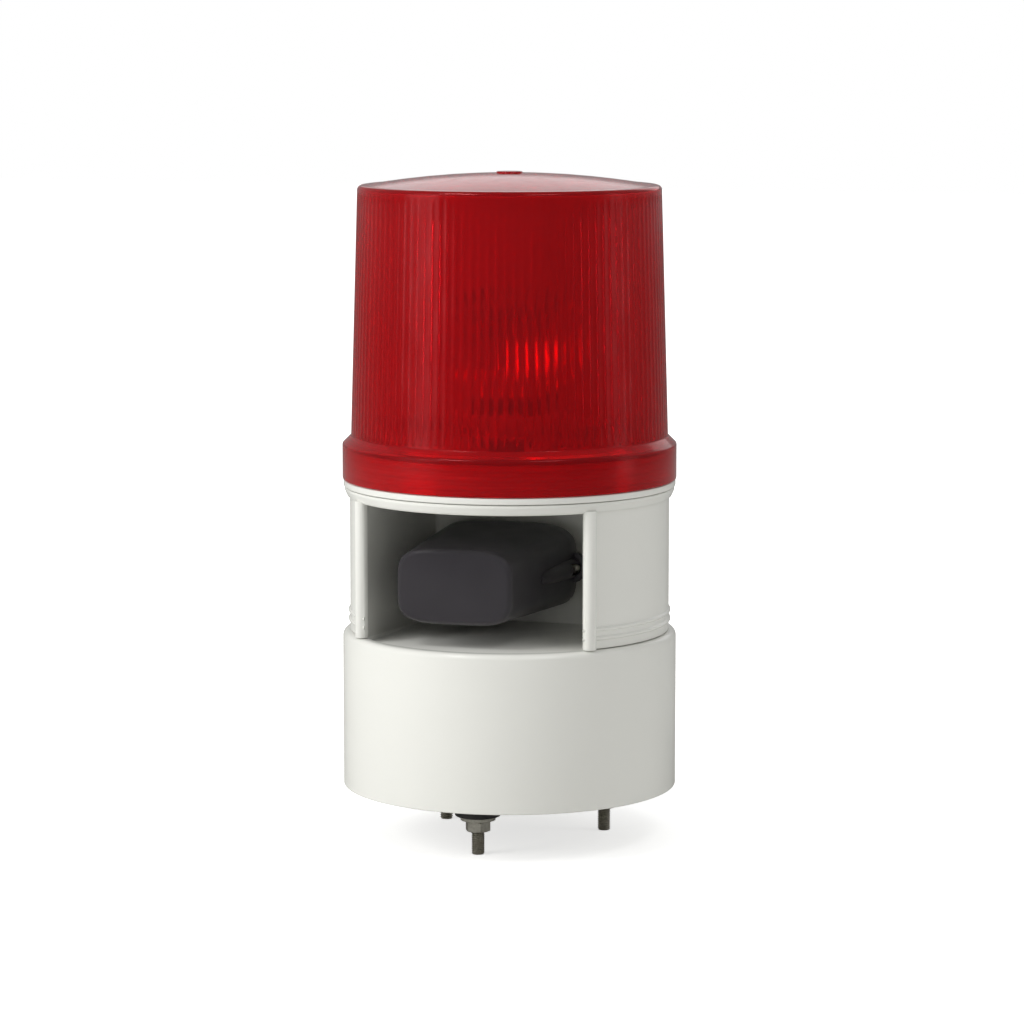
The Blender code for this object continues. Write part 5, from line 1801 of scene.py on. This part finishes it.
@dataclass
class Beacon:
    """The bulb, and the reflector that a small motor turns round it."""

    repeat: Tree
    module: float = 1.0
    gear_teeth: int = 34
    pinion_teeth: int = 12
    pressure: float = 25.0
    focus: float = 16.0
    dish: float = 24.0
    dish_wall: float = 1.6
    neck_hole: float = 10.8  # in the dish, round the socket
    foot_circle: float = 13.6
    shaft_y: float = 23.0
    shaft_radius: float = 1.2
    socket_radius: float = 9.0
    socket_groove: float = 8.4
    motor_screw_x: float = 8.0
    bulb_radius: float = 12.0
    bulb_neck: float = 6.5
    bulb_skin: float = 0.7
    coil_reach: float = 3.6  # half the filament's length
    coil_radius: float = 0.55
    coil_turns: int = 14
    wire_radius: float = 0.16

    def build(self) -> None:
        """Builds the mechanism, the bulb and the reflector."""
        self.mechanism()
        self.motor()
        self.gears()
        self.bulb()
        self.reflector()

    def mechanism(self) -> None:
        """Cuts the steel plate over the deck, and its screws."""
        span = Span.of("mechanism_plate")
        motor_screws = ((-self.motor_screw_x, self.shaft_y), (self.motor_screw_x, self.shaft_y))
        loops = [
            box_outline(span.low.x, span.low.y, span.high.x, span.high.y, 4.0),
            ring_points(9.9, 56),
            ring_points(3.0, 28, (0.0, self.shaft_y)),
        ]
        loops += [ring_points(SCREW_HOLE, 24, at) for at in MECHANISM_BOSSES + motor_screws]
        made = plate("mechanism_plate_steel", loops, span.height, shift(0.0, 0.0, span.low.z), 0.25)
        publish(made, Body.BASE, ZINC_STEEL, ["mechanism_plate"])
        top = span.high.z + GAP
        screws = [
            cross_screw(f"boss_screw_{i}", MIDDLE_SCREW, 9.0, shift(x, y, top))
            for i, (x, y) in enumerate(MECHANISM_BOSSES)
        ]
        screws += [
            cross_screw(f"can_screw_{i}", FLAT_SCREW, 5.5, shift(x, y, top))
            for i, (x, y) in enumerate(motor_screws)
        ]
        nodes = [*numbered("mechanism_screw"), "motor_screw_1", "motor_screw_2"]
        publish(merged("mechanism_screws", screws), Body.BASE, ZINC_STEEL, nodes)

    def motor(self) -> None:
        """Turns the motor's can with its rolled edges, and its shaft."""
        span = Span.of("motor")
        low, high, radius = span.low.z, span.high.z, span.radius
        corners = [
            (0.0, high, 0.0),
            (radius - 1.6, high, 0.2),
            (radius - 1.2, high - 0.5, 0.3),
            (radius, high - 0.5, 0.6),
            (radius, low, 1.2),
            (4.0, low, 0.2),
            (4.0, low + 0.6, 0.2),
            (0.0, low + 0.6, 0.0),
        ]
        axis = shift(0.0, self.shaft_y, 0.0)
        can = turned("motor_can", rounded(corners, closed=False), 64, axis)
        cuts = [bar("motor_bore", self.shaft_radius + GAP, span.z, high + 1.0, axis)]
        for x in (-self.motor_screw_x, self.motor_screw_x):
            at = shift(x, self.shaft_y, 0.0)
            cuts.append(bar(f"can_bore_{x:.0f}", SCREW_HOLE, high - 5.0, high + 1.0, at))
        combined(can, cuts, Join.CUT)
        publish(can, Body.BASE, ZINC_STEEL, ["motor"])
        span = Span.of("motor_shaft")
        corners = [
            (0.0, span.high.z, 0.0),
            (self.shaft_radius, span.high.z, 0.3),
            (self.shaft_radius, span.low.z, 0.2),
            (0.0, span.low.z, 0.0),
        ]
        shaft = turned("motor_shaft_steel", rounded(corners, closed=False), 28, axis)
        publish(shaft, Body.ROTOR, ZINC_STEEL, ["motor_shaft"])

    def tooth(self, teeth: int, middle: float) -> list[Point]:
        """Outline of one tooth and its half gaps, from root to root."""
        pitch = self.module * teeth / 2
        base = pitch * cos(radians(self.pressure))
        tip, root = pitch + 0.8 * self.module, pitch - 1.1 * self.module
        play = 0.24
        half_width = (pi * self.module / 2 - play) / 2 / pitch

        def involute(radius: float) -> float:
            angle = acos(min(1.0, base / radius))
            return tan(angle) - angle

        def half_angle(radius: float) -> float:
            return half_width + involute(pitch) - involute(max(radius, base))

        radii = [root + (tip - root) * k / 5 for k in range(6)]
        edge = pi / teeth
        points = [(root, -edge)] + [(r, -half_angle(r)) for r in radii]
        points += [(r, half_angle(r)) for r in reversed(radii)] + [(root, edge)]
        return [(r * cos(middle + a), r * sin(middle + a)) for r, a in points]

    def gear_sector(self, name: str, teeth: int, bore: float, span: Span, middle: float) -> Solid:
        """Makes one tooth's share of a gear, open at its two sides.

        Args:
            name: the object's name.
            teeth: number of teeth of the whole gear.
            bore: radius of the bore.
            span: the CAD gear's place, for its underside and its top.
            middle: angle of the tooth.

        Returns:
            The sector, round the Z axis.
        """
        outline = self.tooth(teeth, middle)
        steps = 4
        inner = [
            (bore * cos(a), bore * sin(a))
            for a in (middle + pi / teeth * (1 - 2 * k / steps) for k in range(steps + 1))
        ]
        shape = bmesh.new()
        rows = []
        for height in (span.low.z, span.high.z):
            rows.append([shape.verts.new((x * MM, y * MM, height * MM)) for x, y in outline + inner])
        shape.faces.new(rows[1])
        shape.faces.new(list(reversed(rows[0])))
        count = len(outline)
        for i in [*range(count - 1), *range(count, len(rows[0]) - 1)]:
            shape.faces.new((rows[0][i], rows[0][i + 1], rows[1][i + 1], rows[1][i]))
        mesh = bpy.data.meshes.new(name)
        shape.to_mesh(mesh)
        shape.free()
        return new_object(name, mesh)

    def gears(self) -> None:
        """Builds the nylon gear, the brass pinion, and the sleeve that the gear turns on."""
        span, sleeve = Span.of("reflector_gear"), Span.of("bearing_sleeve")
        outer, flange = 11.0, 14.0
        gear = self.gear_sector("reflector_gear_nylon", self.gear_teeth, outer + GAP, span, pi / 2)
        grown(gear, self.repeat, NYLON, count=self.gear_teeth)
        softened(gear, 0.15, 1, 50.0)
        publish(gear, Body.REFLECTOR, NYLON, ["reflector_gear"])
        span = Span.of("drive_pinion")
        middle = -pi / 2 + pi / self.pinion_teeth
        bore = self.shaft_radius + GAP
        pinion = self.gear_sector("drive_pinion_brass", self.pinion_teeth, bore, span, middle)
        grown(pinion, self.repeat, BRASS, count=self.pinion_teeth)
        pinion.data.transform(shift(0.0, self.shaft_y, 0.0))
        publish(pinion, Body.ROTOR, BRASS, ["drive_pinion"])
        low, high = sleeve.low.z, sleeve.high.z
        bore = self.socket_radius + GAP
        corners = [
            (bore, high, 0.3),
            (outer, high, 0.3),
            (outer, low + 1.4, 0.3),
            (flange, low + 1.4, 0.4),
            (flange, low, 0.3),
            (bore, low, 0.3),
        ]
        ring = turned("bearing_sleeve_nylon", rounded(corners, steps=3), 64)
        publish(ring, Body.BASE, NYLON, ["bearing_sleeve"])

    def bulb(self) -> None:
        """Builds the socket, the brass cap, the glass and the filament."""
        span = Span.of("bulb_socket")
        low, high = span.low.z, span.high.z
        radius, groove = self.socket_radius, self.socket_groove
        corners = [(0.0, high, 0.0), (radius, high, 0.8)]
        for k in range(3):
            z = high - 3.0 - 2.6 * k
            corners += [
                (radius, z + 0.7, 0.2),
                (groove, z + 0.5, 0.2),
                (groove, z - 0.5, 0.2),
                (radius, z - 0.7, 0.2),
            ]
        corners += [(radius, low, 0.4), (0.0, low, 0.0)]
        socket = turned("bulb_socket_phenolic", rounded(corners, closed=False, steps=3), 64)
        publish(socket, Body.BASE, PHENOLIC, ["bulb_socket"])
        span = Span.of("bulb_cap")
        low, high = span.low.z, span.high.z
        corners = [
            (0.0, high, 0.0),
            (7.2, high, 0.3),
            (7.5, high - 0.8, 0.3),
            (7.1, high - 1.6, 0.3),
            (7.1, low + 2.5, 0.3),
            (7.5, low + 1.6, 0.3),
            (7.5, low, 0.4),
            (0.0, low, 0.0),
        ]
        cap = turned("bulb_cap_brass", rounded(corners, closed=False, steps=3), 56)
        publish(cap, Body.BASE, BRASS, ["bulb_cap"])
        self.envelope()
        self.filament()

    def envelope(self) -> None:
        """Blows the bulb's glass as a thin shell."""
        span = Span.of("bulb_glass")
        low, high = span.low.z, span.high.z
        radius, neck, skin = self.bulb_radius, self.bulb_neck, self.bulb_skin
        centre = high - radius
        turns = [0.78 * pi * k / 22 for k in range(23)]
        outer = [(radius * sin(a), centre + radius * cos(a)) for a in turns]
        shoulder = [(*outer[-1], 0.0), (neck, low + 2.0, 1.5), (neck, low, 0.0)]
        outer += rounded(shoulder, closed=False)[1:]
        inner = [((radius - skin) * sin(a), centre + (radius - skin) * cos(a)) for a in turns]
        inner += [(neck - skin, low + 2.2), (neck - skin, low + 0.8), (0.0, low + 0.8)]
        profile = outer + [(0.0, low)]
        made = turned("bulb_glass_envelope", profile, 64)
        hollow = turned("bulb_hollow", inner, 64)
        shape = bmesh.new()
        shape.from_mesh(hollow.data)
        bmesh.ops.reverse_faces(shape, faces=shape.faces)
        shape.to_mesh(hollow.data)
        shape.free()
        made = merged("bulb_glass_envelope", [made, hollow])
        publish(made, Body.BASE, BULB_GLASS, ["bulb_glass"])

    def filament(self) -> None:
        """Coils the filament between its two supports."""
        span = Span.of("bulb_glass")
        foot, height = span.low.z + 1.2, span.high.z - self.bulb_radius + 1.0
        curve = bpy.data.curves.new("filament", "CURVE")
        curve.dimensions = "3D"
        curve.bevel_depth = self.wire_radius * MM
        curve.bevel_resolution = 2
        curve.use_fill_caps = True
        reach, radius, steps = self.coil_reach, self.coil_radius, 8
        last = self.coil_turns * steps
        coil = []
        for i in range(last + 1):
            angle = 2 * pi * i / steps
            x = -reach + 2 * reach * i / last
            coil.append((x, radius * cos(angle), height + radius * sin(angle)))
        path = [(-reach, 0.0, foot), (-reach, 0.0, height - 3.0), *coil]
        path += [(reach, 0.0, height - 3.0), (reach, 0.0, foot)]
        spline = curve.splines.new("POLY")
        spline.points.add(len(path) - 1)
        for point, (x, y, z) in zip(spline.points, path):
            point.co = (x * MM, y * MM, z * MM, 1.0)
        shape = curve_surface(curve)
        bmesh.ops.remove_doubles(shape, verts=shape.verts, dist=WELD / 2 * MM)
        filament = from_bmesh("bulb_filament", shape)
        publish(filament, Body.BASE, TUNGSTEN, [])

    def reflector(self) -> None:
        """Builds the metallised dish on its stem, and the two screws of its foot."""
        gear_top = Span.of("reflector_gear").high.z
        span = Span.of("reflector")
        axis_z = span.high.z - self.dish
        steps = 20

        def face(share: float, back: float) -> Point:
            radius = self.dish * share
            return (radius, radius**2 / (4 * self.focus) - back)

        front = [face(i / steps, 0.0) for i in range(steps)]
        rim_z, wall, bevel = face(1.0, 0.0)[1], self.dish_wall, 0.3
        rim = [
            (self.dish - bevel, rim_z),
            (self.dish, rim_z - bevel),
            (self.dish, rim_z - wall + bevel),
            (self.dish - bevel, rim_z - wall),
        ]
        back = [face(i / steps, wall) for i in range(steps - 1, -1, -1)]
        dish = turned("reflector_metallised", front + rim + back, 96, shift(0.0, self.focus, axis_z) @ FRONT)
        neck = bar("neck", self.neck_hole, gear_top, gear_top + 24.0, sides=61)
        combined(dish, [neck], Join.CUT)
        stem_back = self.focus + wall
        foot_low = gear_top + GAP
        stem = brick("stem", (-7.0, stem_back - 1.8, foot_low), (7.0, stem_back - 0.1, foot_low + 38.0), 0.5)
        foot = brick("foot", (-8.0, 11.8, foot_low), (8.0, stem_back, foot_low + 2.0), 0.6)
        combined(dish, [stem, foot], Join.ADD)
        screws, bores = [], []
        for i, degrees in enumerate((66, 114)):
            x, y = polar(self.foot_circle, degrees)
            at, head = shift(x, y, 0.0), shift(x, y, foot_low + 2.0 + GAP)
            bores.append(bar(f"foot_bore_{i}", 1.0, foot_low - 2.0, foot_low + 4.0, at, 21))
            screws.append(cross_screw(f"foot_screw_{i}", TINY_SCREW, 5.0, head))
        combined(dish, bores, Join.CUT)
        publish(dish, Body.REFLECTOR, CHROME, ["reflector"])
        nodes = ["reflector_screw_1", "reflector_screw_2"]
        publish(merged("reflector_screws", screws), Body.REFLECTOR, ZINC_STEEL, nodes)


# ---- sound board -----------------------------------------------------------------------


@dataclass
class SoundBoard:
    """What hangs under the housing's floor; its solids stay as the frame has them."""

    finishes: dict[str, Finish] = field(
        default_factory=lambda: {
            "sound_board": CIRCUIT_BOARD,
            "terminal_block": CIRCUIT_BOARD,
            "transformer": FERRITE,
            "heat_sink": ALUMINIUM,
            "capacitor": ALUMINIUM,
            "board_screw_1": ZINC_STEEL,
            "board_screw_2": ZINC_STEEL,
            "board_screw_3": ZINC_STEEL,
        }
    )

    def build(self) -> None:
        """Dresses each solid."""
        for node, finish in self.finishes.items():
            dress_node(node, finish)


# ---- studio ----------------------------------------------------------------------------


@dataclass
class Studio:
    """A pale floor, soft lights, a white surround, and the camera."""

    azimuth: float = 18.5
    elevation: float = 7.56
    distance: float = 1703.0
    target_z: float = 123.0
    lens_mm: float = 133.2
    shift_x: float = 0.0024
    aim_height: float = 0.14
    paper: str = "#f4f4f2"
    mirrored_paper: str = "#b0b0ad"
    floor_glow: float = 0.62  # stands for the lamps that light a studio's sweep from behind
    glow_start: float = 0.35  # metres from the middle where the glow begins to grow
    glow_end: float = 1.6  # and where it reaches its full 1.0
    seen: float = 1.0  # the surround's strength to the camera
    through: float = 3.3  # and through clear pieces
    on_matte: float = 0.34
    mirrored: float = 0.3

    def build(self, floor_z: float) -> None:
        """Builds the whole studio on a floor height in millimetres."""
        self.floor(floor_z)
        self.surround()
        self.lights()
        self.camera()
        bpy.context.scene.view_settings.view_transform = "Standard"

    def switched(self, tree: Tree, ray: Socket, usual: Node, other: Node) -> Node:
        """Shows another shader to one kind of ray.

        Args:
            tree: the tree that both shaders are in.
            ray: the light path's output for that kind.
            usual: what every other ray sees.
            other: what these rays see.

        Returns:
            The node that chooses.
        """
        return add_node(tree, "ShaderNodeMixShader", {0: ray, 1: usual.outputs[0], 2: other.outputs[0]})

    def floor(self, height: float) -> None:
        """Lays the floor: pale to the eye, glowing more with the distance, dim in reflections."""
        shape = bmesh.new()
        bmesh.ops.create_grid(shape, x_segments=1, y_segments=1, size=6.0)
        made = from_bmesh("studio_floor", shape, shift(0.0, 0.0, height))
        paper = bpy.data.materials.new("pale_paper")
        paper.use_nodes = True
        tree = paper.node_tree
        tree.nodes.clear()
        path = add_node(tree, "ShaderNodeLightPath")
        matte = add_node(tree, "ShaderNodeBsdfDiffuse", {"Color": linear(self.paper)})
        place = add_node(tree, "ShaderNodeTexCoord")
        away = add_node(tree, "ShaderNodeVectorMath", {0: place.outputs["Object"]}, operation="LENGTH")
        glow = add_node(
            tree,
            "ShaderNodeMapRange",
            {
                "Value": away.outputs["Value"],
                "From Min": self.glow_start,
                "From Max": self.glow_end,
                "To Min": self.floor_glow,
                "To Max": 1.0,
            },
        )
        lit = add_node(tree, "ShaderNodeEmission", {"Color": linear("#ffffff"), "Strength": glow.outputs[0]})
        both = add_node(tree, "ShaderNodeAddShader", {0: matte.outputs[0], 1: lit.outputs[0]})
        white = self.switched(tree, path.outputs["Is Camera Ray"], matte, both)
        dim = add_node(tree, "ShaderNodeBsdfDiffuse", {"Color": linear(self.mirrored_paper)})
        mixed = self.switched(tree, path.outputs["Is Glossy Ray"], white, dim)
        add_node(tree, "ShaderNodeOutputMaterial", {0: mixed.outputs[0]})
        made.data.materials.append(paper)

    def surround(self) -> None:
        """Sets a white surround: dimmer on matte pieces and in reflections, brighter through clear ones."""
        world = bpy.data.worlds.new("white_surround")
        world.use_nodes = True
        bpy.context.scene.world = world
        tree = world.node_tree
        tree.nodes.clear()
        path = add_node(tree, "ShaderNodeLightPath")

        def white(strength: float) -> Node:
            return add_node(tree, "ShaderNodeBackground", {"Color": linear("#ffffff"), "Strength": strength})

        shown = white(self.seen)
        for ray, strength in (
            ("Is Transmission Ray", self.through),
            ("Is Diffuse Ray", self.on_matte),
            ("Is Glossy Ray", self.mirrored),
        ):
            shown = self.switched(tree, path.outputs[ray], shown, white(strength))
        add_node(tree, "ShaderNodeOutputWorld", {0: shown.outputs[0]})

    def lights(self) -> None:
        """Hangs the softboxes: a key on the left, two overhead, a rim on the right, one behind."""
        self.softbox("key_left", (-1.3, -1.2, 0.75), (0.9, 1.4), 24.0, False)
        self.softbox("top_left", (-0.45, -0.75, 1.35), (0.5, 0.35), 5.5)
        self.softbox("top_right", (0.75, -0.65, 1.25), (0.5, 0.35), 2.4)
        self.softbox("rim_right", (1.5, 0.35, 0.5), (0.35, 1.2), 5.0, False)
        self.softbox("back_wash", (-0.1, 1.6, 0.9), (1.6, 0.8), 3.0)

    def softbox(
        self, name: str, at: tuple[float, float, float], size: Point, power: float, mirrored: bool = True
    ) -> None:
        """Hangs one rectangular light that faces the object.

        Args:
            name: the light's name.
            at: where it hangs, in metres.
            size: its width and height in metres.
            power: its power in watts.
            mirrored: whether glossy surfaces show it.
        """
        light = bpy.data.lights.new(name, "AREA")
        light.shape = "RECTANGLE"
        light.size, light.size_y = size
        light.energy = power
        made = bpy.data.objects.new(name, light)
        bpy.context.scene.collection.objects.link(made)
        made.location = at
        made.visible_glossy = mirrored
        aim = Vector((0.0, 0.0, self.aim_height)) - Vector(at)
        made.rotation_mode = "QUATERNION"
        made.rotation_quaternion = aim.to_track_quat("-Z", "Y")

    def camera(self) -> None:
        """Sets the camera at its place round the object."""
        data = bpy.data.cameras.new("camera")
        data.sensor_width = 36.0
        data.lens = self.lens_mm
        data.shift_x = self.shift_x
        data.clip_start, data.clip_end = 0.05, 50.0
        made = bpy.data.objects.new("camera", data)
        bpy.context.scene.collection.objects.link(made)
        a, e = radians(self.azimuth), radians(self.elevation)
        back = Vector((sin(a) * cos(e), -cos(a) * cos(e), sin(e)))
        made.location = Vector((0.0, 0.0, self.target_z * MM)) + back * (self.distance * MM)
        made.rotation_mode = "QUATERNION"
        made.rotation_quaternion = (-back).to_track_quat("-Z", "Y")
        bpy.context.scene.camera = made


def main() -> None:
    """Builds each sub-assembly in order, then the studio."""
    logging.basicConfig(level=logging.INFO, format="%(message)s")
    repeat, thread = round_repeat_tree(), threaded_rod_tree()
    BaseAssembly(repeat, thread).build()
    SirenHousing(repeat).build()
    SirenUnit().build()
    LampBase(repeat).build()
    Lens(repeat).build()
    Beacon(repeat).build()
    SoundBoard().build()
    Studio().build(CAD_BOX[0].z / MM)


if __name__ == "__main__":
    main()
